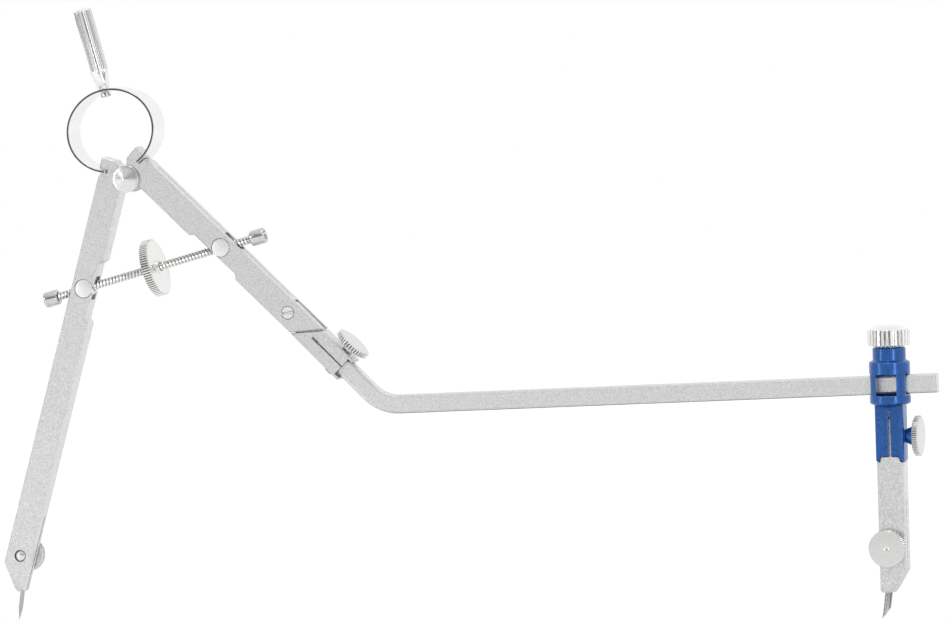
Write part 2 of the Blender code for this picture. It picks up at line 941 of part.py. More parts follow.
def add_tenon(target, parent, neck, screw_up):
    """Forked tenon above a piece whose top is at the place's zero. The fork clears the screw."""
    top = neck + tenon_length
    overlap = overrun / 2
    height = top - neck + overlap
    block_middle = (0, 0, neck - overlap + height / 2)
    join(target, block(tenon_width, tenon_depth, height, block_middle), parent)
    slot_low = screw_up - pinch_screw_radius - clearance
    slot_height = top - slot_low + overrun
    slot = block(2 * tenon_width, fork_slot, slot_height, (0, 0, slot_low + slot_height / 2))
    cut(target, slot, parent)


# Lead clamp


def make_clamp_body(parent, bar_turn):
    """Blue sleeve on the bar with the pinch socket for the lead holder below it."""
    ring = clamp_ring_radius
    edge = clamp_ring_edge
    low = -clamp_ring_bottom
    profile = (
        (clamp_cone_end, low - clamp_cone_length),
        (ring - edge, low),
        (ring, low + edge),
        (ring, clamp_neck_bottom - 2 * edge),
        (clamp_neck_radius, clamp_neck_bottom),
        (clamp_neck_radius, clamp_neck_top - edge),
        (clamp_neck_radius - edge, clamp_neck_top),
    )
    body = piece("clamp_body", turned(profile, disc_steps), parent, blue("clamp_blue"))
    fork_top = low + clamp_low_ring / 2
    fork_size = (fork_width, fork_thickness, fork_end + fork_top)
    fork = block(*fork_size, (0, 0, (fork_top - fork_end) / 2), fork_edge)
    join(body, fork, parent)
    for side in (-1, 1):
        middle = (side * (clamp_flat_reach + ring), 0, 0)
        cut(body, block(2 * ring, 4 * ring, 2 * clamp_half_flat, middle), parent)
    boss = rod(boss_radius, 0, fork_width / 2 + boss_length, "X")
    level = -fork_end + fork_screw_up
    bmesh.ops.translate(boss, vec=(0, 0, level), verts=boss.verts)
    join(body, boss, parent)
    stem_bore = clamp_screw_radius + clearance
    cut(body, rod(stem_bore, 0, clamp_neck_top + overrun), parent)
    opening = bar_height + 2 * clearance
    cut(body, block(window_width, 4 * ring, opening), parent)
    slot = block(4 * ring, bar_depth + 2 * clearance, opening)
    cut(body, slot, bar_turn)
    recess = arched(recess_width, -fork_end - overrun, -fork_end + lug_length, recess_corner)
    slit = (fork_slit_width, fork_slit_mouth, fork_slit_rise)
    socket_cuts(body, parent, recess, -fork_end, *slit)
    hole = rod(pinch_screw_radius + clearance, -fork_width, 2 * fork_width, "X")
    bmesh.ops.translate(hole, vec=(0, 0, level), verts=hole.verts)
    cut(body, hole, parent)


def make_clamp_screw(parent):
    """Large knurled screw that presses on the bar from above."""
    start = clamp_neck_top + clearance
    top = start + clamp_head_height
    radius = clamp_head_radius
    notch = clamp_tooth_depth
    rings = (
        (radius - head_chamfer - notch, start),
        (radius, start + head_chamfer, notch),
        (radius, top - clamp_head_chamfer, notch),
        (radius - 2 * clamp_head_chamfer, top),
    )
    shape = turned(rings, 2 * clamp_head_teeth)
    screw = piece("clamp_screw", shape, parent, satin("clamp_screw_nickel"))
    foot = bar_height / 2 + 2 * clearance
    join(screw, rod(clamp_screw_radius, foot, start + clamp_head_height / 2), parent)


def make_fork_screw(parent):
    """Knurled screw that pinches the fork. Its place is on its axis."""
    start = fork_width / 2 + boss_length + clearance
    stem = (
        (pinch_screw_radius, -fork_width / 2),
        (pinch_screw_radius, start),
        (pinch_neck_radius, start),
        (pinch_neck_radius, start + fork_head_thickness / 2),
    )
    head = (fork_head_radius, start, fork_head_thickness, fork_head_teeth)
    knurled_screw("fork_screw", parent, satin("fork_screw_nickel"), head, stem, "X")


def make_lead_holder(parent, end):
    """Flat holder with a tab and tenon above, and a sawn jaw for the lead at its lower end."""
    half = holder_width / 2
    jaw = holder_jaw_share * end
    tab_width = recess_width - 2 * close_fit
    tab_top = lug_length - close_fit
    corner = half - holder_tip_width
    outline = [
        (-half, -close_fit),
        (-half, -end + corner_lip),
        (-half + corner_lip, -end),
        (-corner - corner_lip, -end),
        (-corner, -end + corner_lip),
        (half, -end + holder_taper),
        (half, -close_fit),
        *arched(tab_width, -close_fit, tab_top, recess_corner),
    ]
    shape = prism(outline, holder_thickness, edge_chamfer)
    holder = piece("lead_holder", shape, parent, satin("holder_nickel"))
    add_tenon(holder, parent, tab_top, fork_screw_up)
    saw_middle = (0, -holder_jaw_offset, -end + (jaw - overrun) / 2)
    cut(holder, block(2 * holder_width, jaw_slot, jaw + overrun, saw_middle), parent)
    hole = rod(holder_screw_radius + clearance, -holder_width, holder_width, "Y")
    level = (holder_screw_share - 1) * end
    bmesh.ops.translate(hole, vec=(-holder_screw_across, 0, level), verts=hole.verts)
    cut(holder, hole, parent)
    length = end + tab_top + tenon_length + leg_width
    cone_tip(holder, parent, -lead_exit_across, -end, holder_cone_radius, length)
    return holder


def make_lead_screw(parent):
    """Knurled screw on the front of the holder, through to its back."""
    half = holder_thickness / 2
    start = half + needle_head_gap
    stem = (
        (holder_screw_radius, -start - holder_head_thickness / 2),
        (holder_screw_radius, half - edge_chamfer),
        (holder_screw_radius - edge_chamfer, half),
    )
    head = (holder_head_radius, start, holder_head_thickness, holder_head_teeth, "Y", -1)
    screw = piece("lead_screw", knurled_head(*head), parent, satin("lead_screw_nickel"))
    join(screw, turned(stem, pin_steps, "Y"), parent)
    face = -start - holder_head_thickness
    cut(screw, rod(dimple_radius, face - overrun, face + head_dome, "Y"), parent)


def make_lead(parent, holder, reach, inside):
    """Lead with its chisel point, and the hole in the holder. Its place is where it leaves."""
    shape = rod(lead_radius, -reach, inside, "Z")
    for corner in shape.verts:
        if corner.co.z < 0:
            corner.co.z += lead_bevel * (corner.co.x + lead_radius) / (2 * lead_radius)
    piece("lead", shape, parent, graphite("lead_graphite"))
    cut(holder, rod(lead_radius + clearance, -overrun, inside + clearance), parent)


def build():
    clear_scene()
    head = place(
        "head_place",
        None,
        grip_height * math.sin(head_lean),
        -grip_height * math.cos(head_lean),
        turn=-head_lean,
    )
    left = place("left_leg_place", head, turn=half_opening)
    right = place("right_leg_place", head, turn=-half_opening)
    left_nut = place("left_nut_place", head, -nut_side, -nut_drop)
    right_nut = place("right_nut_place", head, nut_side, -nut_drop)
    spindle = place("spindle_place", head, 0, -nut_drop)
    knee = place("knee_place", right, leg_middle, -knee_along, turn=knee_fold_at_rest)

    make_handle(head)
    make_handle_screw(head)
    make_ring_spring(head)
    make_pivot(head)
    make_left_leg(left, head)
    make_right_leg(right, head, knee)
    make_leg_nut("left_spindle_nut", left_nut)
    make_leg_nut("right_spindle_nut", right_nut)
    make_spindle(spindle)
    make_adjusting_wheel(spindle)
    make_spindle_cap("left_spindle_cap", spindle, -1)
    make_spindle_cap("right_spindle_cap", spindle, 1)

    end = left_leg_length
    needle = place(
        "needle_place", left, -needle_exit_across, -end, jaw_offset, turn=-needle_tilt
    )
    make_needle(needle, bpy.data.objects["left_leg"])
    needle_screw = place(
        "needle_screw_place", left, -leg_middle + needle_screw_inset, -end + needle_screw_up
    )
    make_needle_screw(needle_screw)

    make_knee_screw(knee)
    make_knee_socket(knee)
    socket_screw = place("socket_screw_place", knee, 0, -knee_socket_end + socket_screw_up)
    make_socket_screw(socket_screw)

    knee_lean = head_lean + half_opening - knee_fold_at_rest
    bend = math.pi / 2 + bar_rise - knee_lean
    bar = place("bar_place", knee, 0, -knee_socket_end)
    make_extension_bar(bar, bend)
    clamp = place(
        "clamp_place",
        bar,
        clamp_along_bar * math.sin(bend),
        -bar_knee_side - clamp_along_bar * math.cos(bend),
        turn=knee_lean,
    )
    along_bar = place("bar_slot_place", clamp, turn=-bar_rise)
    make_clamp_body(clamp, along_bar)
    make_clamp_screw(clamp)
    make_fork_screw(place("fork_screw_place", clamp, 0, -fork_end + fork_screw_up))

    holder_place = place("holder_place", clamp, 0, -fork_end)
    bpy.context.view_layer.update()
    needle_point = needle.matrix_world @ Vector((0, 0, -needle_reach))
    fork_height = holder_place.matrix_world.translation.z - needle_point.z
    holder_length = fork_height - lead_exit_height
    holder = make_lead_holder(holder_place, holder_length)
    lead_screw = place(
        "lead_screw_place",
        holder_place,
        -holder_screw_across,
        (holder_screw_share - 1) * holder_length,
    )
    make_lead_screw(lead_screw)
    lead = place(
        "lead_place",
        holder_place,
        -lead_exit_across,
        -holder_length,
        -holder_jaw_offset,
        lead_tilt,
    )
    reach = (lead_exit_height + lead_radius * math.sin(lead_tilt)) / math.cos(lead_tilt)
    below_screw = holder_screw_share * holder_length - holder_screw_radius - lead_end_gap
    make_lead(lead, holder, reach, below_screw / math.cos(lead_tilt))


build()
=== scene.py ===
"""The look of a spring bow drawing compass with an extension bar.

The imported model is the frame. Lengths are in metres in the same frame as the model: the
compass stands in the XZ plane, its front faces -Y, and the origin is the middle of its handle.
"""

import math

import bmesh
import bpy
from mathutils import Matrix, Vector


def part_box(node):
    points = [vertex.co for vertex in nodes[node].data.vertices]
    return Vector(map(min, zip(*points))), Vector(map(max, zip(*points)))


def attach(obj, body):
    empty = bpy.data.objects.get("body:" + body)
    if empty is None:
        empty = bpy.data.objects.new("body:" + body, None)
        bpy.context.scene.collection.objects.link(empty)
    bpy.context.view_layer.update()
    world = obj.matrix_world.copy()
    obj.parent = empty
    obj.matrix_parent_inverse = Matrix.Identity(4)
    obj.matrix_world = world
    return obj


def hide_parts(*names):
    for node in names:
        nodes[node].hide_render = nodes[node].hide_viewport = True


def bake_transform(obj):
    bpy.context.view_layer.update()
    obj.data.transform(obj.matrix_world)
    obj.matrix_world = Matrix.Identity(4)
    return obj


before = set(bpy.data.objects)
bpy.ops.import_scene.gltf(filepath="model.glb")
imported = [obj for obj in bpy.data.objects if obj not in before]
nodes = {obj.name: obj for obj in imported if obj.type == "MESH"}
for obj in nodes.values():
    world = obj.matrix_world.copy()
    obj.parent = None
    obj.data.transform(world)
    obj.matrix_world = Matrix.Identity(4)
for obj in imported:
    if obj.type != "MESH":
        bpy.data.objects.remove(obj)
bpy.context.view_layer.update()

# Sizes, the same as the model's
clearance = 0.00025
head_lean = math.radians(14.7)
half_opening = math.radians(31.3)

ring_half_width = 0.01265
ring_half_height = 0.0114
ring_centre_height = 0.0140
ring_strip = 0.0006
ring_band = 0.0096
ring_end_offset = 0.0050
handle_length = 0.0230

leg_width = 0.0073
leg_thickness = 0.0054
leg_inner_offset = 0.0009
left_leg_length = 0.1206
needle_across = 0.00206
needle_depth = 0.0009
needle_tilt = math.radians(7.4)
needle_reach = 0.0084

spindle_length = 0.0675
spindle_bore = 0.0014
cap_length = 0.0041
nut_to_cap = 0.0086

knee_share = 0.49254
knee_fold = math.radians(0.9)
socket_end = 0.0228
bar_knee_side = 0.0138
bar_height = 0.0052
bar_depth = 0.0032
bar_bend = math.radians(46.4)
bar_rise = math.radians(1.5)

clamp_along_bar = 0.14335
clamp_half_flat = 0.0030
clamp_low_ring = 0.0021
clamp_top_ring = 0.0037
clamp_neck_length = 0.0034
clamp_screw_radius = 0.0018
fork_end = 0.0207
fork_width = 0.0078
fork_thickness = 0.0054
fork_screw_up = 0.0068
fork_boss_end = 0.0063
holder_thickness = 0.0054
lead_exit_height = 0.0072
lead_across = 0.0018
lead_depth = 0.0005
lead_tilt = math.radians(8.2)
lead_radius = 0.001

# Sizes that follow from them
ring_top = ring_centre_height + ring_half_height + ring_strip / 2
handle_foot = ring_top + clearance
grip_height = handle_foot + handle_length / 2
leg_middle = leg_inner_offset + leg_width / 2
nut_side = spindle_length / 2 - cap_length - nut_to_cap
nut_along = (nut_side - leg_middle * math.cos(half_opening)) / math.sin(half_opening)
nut_drop = nut_along * math.cos(half_opening) - leg_middle * math.sin(half_opening)
clamp_neck_bottom = clamp_half_flat + clamp_top_ring
clamp_neck_top = clamp_neck_bottom + clamp_neck_length


def place(parent, across=0.0, height=0.0, depth=0.0, turn=0.0):
    """A place on another one, turned about the Y axis."""
    return parent @ Matrix.Translation((across, depth, height)) @ Matrix.Rotation(turn, 4, "Y")


head = place(
    Matrix.Identity(4),
    grip_height * math.sin(head_lean),
    -grip_height * math.cos(head_lean),
    turn=-head_lean,
)
left_leg = place(head, turn=half_opening)
right_leg = place(head, turn=-half_opening)
spindle_place = place(head, 0, -nut_drop)
knee = place(right_leg, leg_middle, -knee_share * left_leg_length, turn=knee_fold)
bar_place = place(knee, 0, -socket_end)
clamp = place(
    bar_place,
    clamp_along_bar * math.sin(bar_bend),
    -bar_knee_side - clamp_along_bar * math.cos(bar_bend),
    turn=head_lean + half_opening - knee_fold,
)
fork_screw_place = place(clamp, 0, -fork_end + fork_screw_up)
holder = place(clamp, 0, -fork_end)
needle_place = place(left_leg, -needle_across, -left_leg_length, needle_depth, -needle_tilt)
needle_point = needle_place @ Vector((0, 0, -needle_reach))
holder_length = holder.translation.z - needle_point.z - lead_exit_height


# Node helpers


def grey(value):
    return (value, value, value)


class Graph:
    """A small helper that makes and joins the nodes of one tree."""

    def __init__(self, tree):
        self.tree = tree

    def add(self, kind):
        return self.tree.nodes.new(kind)

    def feed(self, entry, value):
        """Joins an output to a socket, or sets a number, a vector or a colour on it."""
        if isinstance(value, bpy.types.NodeSocket):
            self.tree.links.new(value, entry)
        elif isinstance(value, tuple) and len(entry.default_value) == 4:
            entry.default_value = (*value, 1)
        else:
            entry.default_value = value

    def calculate(self, operation, first, second=None):
        node = self.add("ShaderNodeMath")
        node.operation = operation
        self.feed(node.inputs[0], first)
        if second is not None:
            self.feed(node.inputs[1], second)
        return node.outputs["Value"]

    def dot(self, first, second):
        node = self.add("ShaderNodeVectorMath")
        node.operation = "DOT_PRODUCT"
        self.feed(node.inputs[0], first)
        self.feed(node.inputs[1], second)
        return node.outputs["Value"]

    def split(self, vector, axis):
        node = self.add("ShaderNodeSeparateXYZ")
        self.feed(node.inputs[0], vector)
        return node.outputs[axis]

    def ranged(self, value, low, high, first=0.0, last=1.0, soft=False):
        """A value that runs from low to high, moved to run from first to last."""
        node = self.add("ShaderNodeMapRange")
        if soft:
            node.interpolation_type = "SMOOTHSTEP"
        node.inputs["From Min"].default_value = low
        node.inputs["From Max"].default_value = high
        node.inputs["To Min"].default_value = first
        node.inputs["To Max"].default_value = last
        self.feed(node.inputs["Value"], value)
        return node.outputs["Result"]

    def mixed(self, share, first, second):
        """A number between two others."""
        node = self.add("ShaderNodeMix")
        node.data_type = "FLOAT"
        self.feed(node.inputs[0], share)
        self.feed(node.inputs[2], first)
        self.feed(node.inputs[3], second)
        return node.outputs[0]

    def blend(self, share, first, second):
        """A colour between two others."""
        node = self.add("ShaderNodeMix")
        node.data_type = "RGBA"
        self.feed(node.inputs[0], share)
        self.feed(node.inputs[6], first)
        self.feed(node.inputs[7], second)
        return node.outputs[2]

    def seen(self):
        """1 for what the camera sees, also through reflections and glass, 0 for plain light."""
        path = self.add("ShaderNodeLightPath")
        share = path.outputs["Is Camera Ray"]
        for output in ("Is Glossy Ray", "Is Transmission Ray"):
            share = self.calculate("MAXIMUM", share, path.outputs[output])
        return share


class Shader(Graph):
    """The nodes of one material, round its main shader."""

    def __init__(self, name):
        self.material = bpy.data.materials.new(name)
        self.material.use_nodes = True
        super().__init__(self.material.node_tree)
        self.main = self.tree.nodes["Principled BSDF"]
        coordinates = self.add("ShaderNodeTexCoord")
        self.place = coordinates.outputs["Object"]
        self.facing = coordinates.outputs["Normal"]
        self.true_normal = self.add("ShaderNodeNewGeometry").outputs["Normal"]

    def attribute(self, name):
        node = self.add("ShaderNodeAttribute")
        node.attribute_name = name
        return node.outputs["Fac"]

    def noise(self, spot, scale, detail, dimensions="3D"):
        node = self.add("ShaderNodeTexNoise")
        node.noise_dimensions = dimensions
        node.inputs["Scale"].default_value = scale
        node.inputs["Detail"].default_value = detail
        self.feed(node.inputs["W" if dimensions == "1D" else "Vector"], spot)
        return node.outputs["Fac"]

    def speckle(self, size, detail, low, high):
        """Noise with grains of a size in metres, stretched to run from 0 to 1."""
        return self.ranged(self.noise(self.place, 1 / size, detail), low, high)

    def streaks(self, size, direction, stretch):
        """Noise drawn out along a direction, for scratched and ground faces."""
        mapping = self.add("ShaderNodeMapping")
        mapping.vector_type = "TEXTURE"
        turn = Vector((0, 0, 1)).rotation_difference(Vector(direction)).to_euler()
        mapping.inputs["Rotation"].default_value = turn
        mapping.inputs["Scale"].default_value = (size, size, size * stretch)
        self.feed(mapping.inputs["Vector"], self.place)
        return self.noise(mapping.outputs["Vector"], 1.0, 3.0)

    def turned_rings(self, size):
        """Fine rings round the axis of a turned face, from the reach that its mesh carries."""
        return self.noise(self.attribute("reach"), 1 / size, 2.0, "1D")

    def valleys(self, share, low=0.35):
        """A mask of the valleys that the mesh marks, in flutes, threads and knurls."""
        return self.ranged(self.attribute("dip"), low, 1.0, 0.0, share)

    def span(self, value, low, high):
        """A value from 0 to 1, moved to run from low to high."""
        return self.ranged(value, 0.0, 1.0, low, high)

    def rounded(self, radius):
        """A normal that rounds edges over a radius."""
        bevel = self.add("ShaderNodeBevel")
        bevel.samples = 4
        bevel.inputs["Radius"].default_value = radius
        return bevel.outputs["Normal"]

    def lined(self, normal, low, high, dark, pale):
        """A mask of edges, where a rounded normal leaves the true one, for painted shade and painted
        highlight on edges.

        Its share is dark on edges that look down or left, and pale on the others.
        """
        edges = self.ranged(self.dot(self.true_normal, normal), low, high, 1.0, 0.0)
        down_left = self.dot(normal, (-0.5, 0, -0.87))
        return self.calculate("MULTIPLY", edges, self.ranged(down_left, -0.25, 0.25, pale, dark))

    def under(self, share, low, high):
        """A mask of faces that look down. It fades to 0 as the normal's height goes up to high."""
        return self.ranged(self.split(self.facing, "Z"), low, high, share, 0.0)

    def bump(self, height, depth, strength, normal=None):
        node = self.add("ShaderNodeBump")
        node.inputs["Strength"].default_value = strength
        node.inputs["Distance"].default_value = depth
        self.feed(node.inputs["Height"], height)
        if normal is not None:
            self.feed(node.inputs["Normal"], normal)
        return node.outputs["Normal"]

    def finish(self, **values):
        """Sets or joins sockets of the main shader, and gives the material."""
        for key, value in values.items():
            self.feed(self.main.inputs[key.replace("_", " ").title()], value)
        return self.material


# Kinds of material


def satin_metal(
    name,
    light=(0.84, 0.85, 0.84),
    dark=(0.65, 0.66, 0.655),
    rough=0.32,
    mottle=0.006,
    pitted=0.38,
    underside_shade=(0.3, -0.85, -0.35),
):
    """Blasted nickel: fine grains and pits, a soft mottle, and grey lines of painted shade on its
    edges, heavier on edges that look down or left.

    The underside shade is the share of painted grey shade on faces that look down, and where it is
    full and gone.
    """
    # The grey of the painted shade on edges and on faces that look down
    line = grey(0.16)
    shader = Shader(name)
    fine = shader.speckle(0.00042, 1.0, 0.38, 0.62)
    coarse = shader.speckle(0.0010, 2.0, 0.35, 0.65)
    cloud = shader.speckle(mottle, 2.0, 0.3, 0.7)
    pits = shader.speckle(0.00036, 1.0, 0.40, 0.27)
    grain = shader.blend(0.25, fine, coarse)
    colour = shader.blend(grain, dark, light)
    colour = shader.blend(shader.span(cloud, 0.0, 0.10), colour, grey(0.80))
    colour = shader.blend(shader.span(pits, 0.0, pitted), colour, grey(0.30))
    # Painted shade: grey lines on the edges, heavier on edges that look down or left
    rim = shader.lined(shader.rounded(0.00036), 0.84, 0.985, 0.80, 0.28)
    colour = shader.blend(rim, colour, line)
    # Painted shade: grey on faces that look down
    colour = shader.blend(shader.under(*underside_shade), colour, line)
    return shader.finish(
        base_color=colour,
        metallic=0.86,
        roughness=shader.span(grain, rough + 0.1, rough - 0.06),
        normal=shader.bump(grain, 0.000022, 0.38, shader.rounded(0.0002)),
    )


def turned_metal(name, light=(0.95, 0.95, 0.94), dark=(0.80, 0.80, 0.79), rough=0.26, valley_shade=0.12):
    """Bright nickel turned on a lathe, with fine rings on its faces and painted shade in its knurl
    valleys.
    """
    shader = Shader(name)
    rings = shader.turned_rings(0.00007)
    grains = shader.speckle(0.00022, 2.0, 0.35, 0.65)
    colour = shader.blend(rings, dark, light)
    colour = shader.blend(shader.span(grains, 0.0, 0.25), colour, light)
    # Painted shade: dark grey in the knurl valleys
    colour = shader.blend(shader.valleys(0.85), colour, grey(valley_shade))
    return shader.finish(
        base_color=colour,
        metallic=0.88,
        roughness=shader.span(grains, rough + 0.06, rough - 0.05),
        normal=shader.bump(rings, 0.000012, 0.5, shader.rounded(0.0001)),
    )


def polished_metal(name, colour, rough, valley_shade=0.5, low=0.35, metallic=1.0):
    """Bright plated steel with faint scratches and smears, and painted shade in its valleys."""
    shader = Shader(name)
    scratch = shader.streaks(0.00025, (-0.25, 0, 0.97), 60)
    smear = shader.speckle(0.0035, 2.0, 0.3, 0.7)
    tint = shader.blend(shader.span(scratch, 0.0, 0.22), colour, (0.62, 0.62, 0.63))
    # Painted shade: near black in the valleys of flutes and threads
    tint = shader.blend(shader.valleys(valley_shade, low), tint, grey(0.07))
    return shader.finish(
        base_color=tint,
        metallic=metallic,
        roughness=shader.span(smear, rough, rough + 0.07),
        normal=shader.bump(scratch, 0.000004, 0.08),
    )


def blue_coat(name, smooth_above):
    """Deep blue metallic coat with fine sparkling grain, a smooth barrel above a height, and painted
    highlight and painted shade on its edges.
    """
    step = 0.0001
    shader = Shader(name)
    height = shader.split(shader.place, "Z")
    grainy = shader.ranged(height, smooth_above - step, smooth_above + step, 1.0, 0.22)
    fine = shader.speckle(0.00020, 1.0, 0.38, 0.62)
    coarse = shader.speckle(0.0007, 2.0, 0.3, 0.7)
    sparks = shader.speckle(0.00028, 0.0, 0.70, 0.80)
    grain = shader.blend(0.4, fine, coarse)
    colour = shader.blend(grain, (0.001, 0.042, 0.19), (0.006, 0.135, 0.52))
    colour = shader.blend(shader.span(sparks, 0.0, 0.4), colour, (0.05, 0.24, 0.66))
    smooth = shader.rounded(0.00026)
    # Painted highlight: paler blue on edges that look up or right
    painted_edge_highlight = shader.lined(smooth, 0.82, 0.985, 0.0, 0.6)
    colour = shader.blend(painted_edge_highlight, colour, (0.20, 0.40, 0.78))
    # Painted shade: dark navy on edges that look down or left
    shade = shader.lined(smooth, 0.82, 0.985, 0.75, 0.0)
    colour = shader.blend(shade, colour, (0.001, 0.010, 0.06))
    relief = shader.calculate("MULTIPLY", grain, grainy)
    return shader.finish(
        base_color=colour,
        metallic=0.62,
        roughness=shader.span(grain, 0.36, 0.24),
        coat_weight=0.45,
        coat_roughness=0.07,
        coat_normal=smooth,
        normal=shader.bump(relief, 0.00002, 0.6, smooth),
    )


def drawing_lead(name):
    """Graphite with a dull shine and fine lengthwise drawing marks."""
    shader = Shader(name)
    marks = shader.ranged(shader.streaks(0.0005, (0.143, 0, 0.99), 60), 0.38, 0.62)
    dust = shader.speckle(0.0002, 2.0, 0.35, 0.65)
    return shader.finish(
        base_color=shader.blend(marks, (0.06, 0.06, 0.065), (0.62, 0.62, 0.625)),
        metallic=0.85,
        roughness=shader.span(dust, 0.12, 0.24),
        normal=shader.bump(marks, 0.000008, 0.1),
    )


def spring_band(name):
    """Spring steel strip: bright and ground across its width, with dark edges."""
    shader = Shader(name)
    grind = shader.streaks(0.00010, (0, 1, 0), 30)
    cloud = shader.speckle(0.004, 2.0, 0.3, 0.7)
    sideways = shader.calculate("ABSOLUTE", shader.split(shader.true_normal, "Y"))
    colour = shader.blend(grind, grey(0.86), grey(0.95))
    return shader.finish(
        base_color=shader.blend(shader.ranged(sideways, 0.6, 0.8), colour, grey(0.13)),
        metallic=0.9,
        roughness=shader.span(cloud, 0.22, 0.32),
        normal=shader.bump(grind, 0.000006, 0.12),
    )


# Materials of this object

left_leg_metal = satin_metal("left_leg_blasted_nickel")
right_leg_metal = satin_metal("right_leg_blasted_nickel", mottle=0.007)
socket_metal = satin_metal("knee_socket_blasted_nickel", mottle=0.008)
bar_metal = satin_metal(
    "bar_blasted_nickel",
    light=(0.86, 0.87, 0.86),
    dark=(0.70, 0.71, 0.705),
    mottle=0.009,
    underside_shade=(1.0, -0.7, -0.28),
)
holder_metal = satin_metal("holder_blasted_nickel", mottle=0.010)
nut_metal = satin_metal(
    "nut_fine_nickel", light=(0.90, 0.90, 0.89), dark=(0.84, 0.84, 0.835), rough=0.4, pitted=0.0
)
knee_screw_metal = satin_metal(
    "knee_screw_nickel", light=(0.95, 0.95, 0.94), dark=(0.84, 0.84, 0.835), rough=0.36, pitted=0.1
)
pivot_metal = turned_metal("pivot_turned_nickel", (0.92, 0.92, 0.91), (0.52, 0.52, 0.51), 0.27)
wheel_metal = turned_metal("wheel_turned_nickel")
screw_metal = turned_metal("knurled_screw_nickel", (0.84, 0.84, 0.83), (0.70, 0.70, 0.69), 0.32)
clamp_screw_metal = turned_metal(
    "clamp_screw_nickel", (0.96, 0.96, 0.95), (0.88, 0.88, 0.87), rough=0.2, valley_shade=0.45
)
handle_chrome = polished_metal(
    "handle_chrome", grey(0.96), 0.14, valley_shade=0.65, low=0.86, metallic=0.66
)
spindle_steel = polished_metal("spindle_steel", (0.86, 0.85, 0.83), 0.14, valley_shade=0.8)
cap_steel = polished_metal("cap_steel", (0.62, 0.62, 0.61), 0.1)
needle_steel = polished_metal("needle_steel", (0.42, 0.42, 0.43), 0.14)
clamp_blue = blue_coat("clamp_blue_coat", clamp.translation.z - 0.0056)
lead_graphite = drawing_lead("lead_graphite")
ring_metal = spring_band("ring_spring_steel")


# Mesh tools


def face_out(shape):
    bmesh.ops.recalc_face_normals(shape, faces=shape.faces[:])


def join_rows(shape, rows):
    """Faces between rows of points that go all the way round. A row of one point is a tip."""
    for low, high in zip(rows, rows[1:]):
        count = max(len(low), len(high))
        for step in range(count):
            after = (step + 1) % count
            if len(low) == 1:
                shape.faces.new((low[0], high[step], high[after]))
            elif len(high) == 1:
                shape.faces.new((low[step], high[0], low[after]))
            else:
                shape.faces.new((low[step], low[after], high[after], high[step]))


def turned(rings, steps=0, along="Z", teeth=0, tooth=0.0, land=0.5, hollow=False):
    """A turned form of (radius, height) rings. A ring marked with True carries the teeth.

    Each tooth is full over the share land of its pitch. A hollow form has rings that go round
    its section, and its last ring joins its first.
    """
    flank = 0.12
    shape = bmesh.new()
    reach_layer = shape.verts.layers.float.new("reach")
    dip_layer = shape.verts.layers.float.new("dip")
    if teeth:
        shares = (0.0, land, land + flank, 1 - flank)
        angles = [(index + share) / teeth * 2 * math.pi for index in range(teeth) for share in shares]
        depths = [0, 0, 1, 1] * teeth
    else:
        angles = [2 * math.pi * step / steps for step in range(steps)]
        depths = [0] * steps
    rows = []
    for radius, height, *marks in rings:
        if radius == 0:
            rows.append([shape.verts.new((0, 0, height))])
            continue
        row = []
        for angle, depth in zip(angles, depths):
            dip = depth if any(marks) else 0
            reach = radius - tooth * dip
            vertex = shape.verts.new((reach * math.cos(angle), reach * math.sin(angle), height))
            vertex[reach_layer] = reach
            vertex[dip_layer] = dip
            row.append(vertex)
        rows.append(row)
    if hollow:
        rows.append(rows[0])
    join_rows(shape, rows)
    if not hollow:
        for row in (rows[0], rows[-1]):
            if len(row) > 1:
                shape.faces.new(row)
    face_out(shape)
    quarter = math.pi / 2
    turns = {"X": Matrix.Rotation(quarter, 4, "Y"), "Y": Matrix.Rotation(-quarter, 4, "X")}
    if along in turns:
        bmesh.ops.transform(shape, matrix=turns[along], verts=shape.verts)
    return shape


def rod(radius, low, high, steps, along="Z"):
    return turned([(0, low), (radius, low), (radius, high), (0, high)], steps, along)


def fillet(radius, height, size, way, steps=4):
    """Ring points that round a rim, in the order of the rings of a turned form.

    They go from the side to the end face where way is 1, and the other way where it is -1.
    """
    points = []
    for step in range(steps + 1):
        angle = step / steps * math.pi / 2
        across = radius - size + size * math.cos(angle)
        points.append((across, height - way * size + way * size * math.sin(angle)))
    return points[::way]


def block(width, depth, height, middle=(0, 0, 0), edge=0.0, steps=2):
    """A box, with its edges rounded where edge is given."""
    shape = bmesh.new()
    bmesh.ops.create_cube(shape, size=1)
    bmesh.ops.scale(shape, vec=(width, depth, height), verts=shape.verts)
    bmesh.ops.translate(shape, vec=middle, verts=shape.verts)
    if edge > 0:
        bmesh.ops.bevel(
            shape, geom=shape.edges[:], offset=edge, segments=steps, profile=0.5, affect="EDGES"
        )
    return shape


def arched(width, low, top, corner, steps=6):
    """Outline of an opening from its lower edge up to a top with rounded corners."""
    points = [(width / 2, low)]
    for side, start in ((1, 0), (-1, math.pi / 2)):
        for step in range(steps + 1):
            angle = start + step / steps * math.pi / 2
            across = side * (width / 2 - corner) + corner * math.cos(angle)
            points.append((across, top - corner + corner * math.sin(angle)))
    return [*points, (-width / 2, low)]


def prism(outline, depth):
    """An outline of (x, z) points, thick along Y."""
    shape = bmesh.new()
    front = [shape.verts.new((x, -depth / 2, z)) for x, z in outline]
    back = [shape.verts.new((x, depth / 2, z)) for x, z in outline]
    shape.faces.new(front)
    shape.faces.new(back[::-1])
    count = len(outline)
    for index in range(count):
        after = (index + 1) % count
        shape.faces.new((front[index], back[index], back[after], front[after]))
    face_out(shape)
    return shape


# Pieces


def linked(name, data):
    item = bpy.data.objects.new(name, data)
    bpy.context.scene.collection.objects.link(item)
    return item


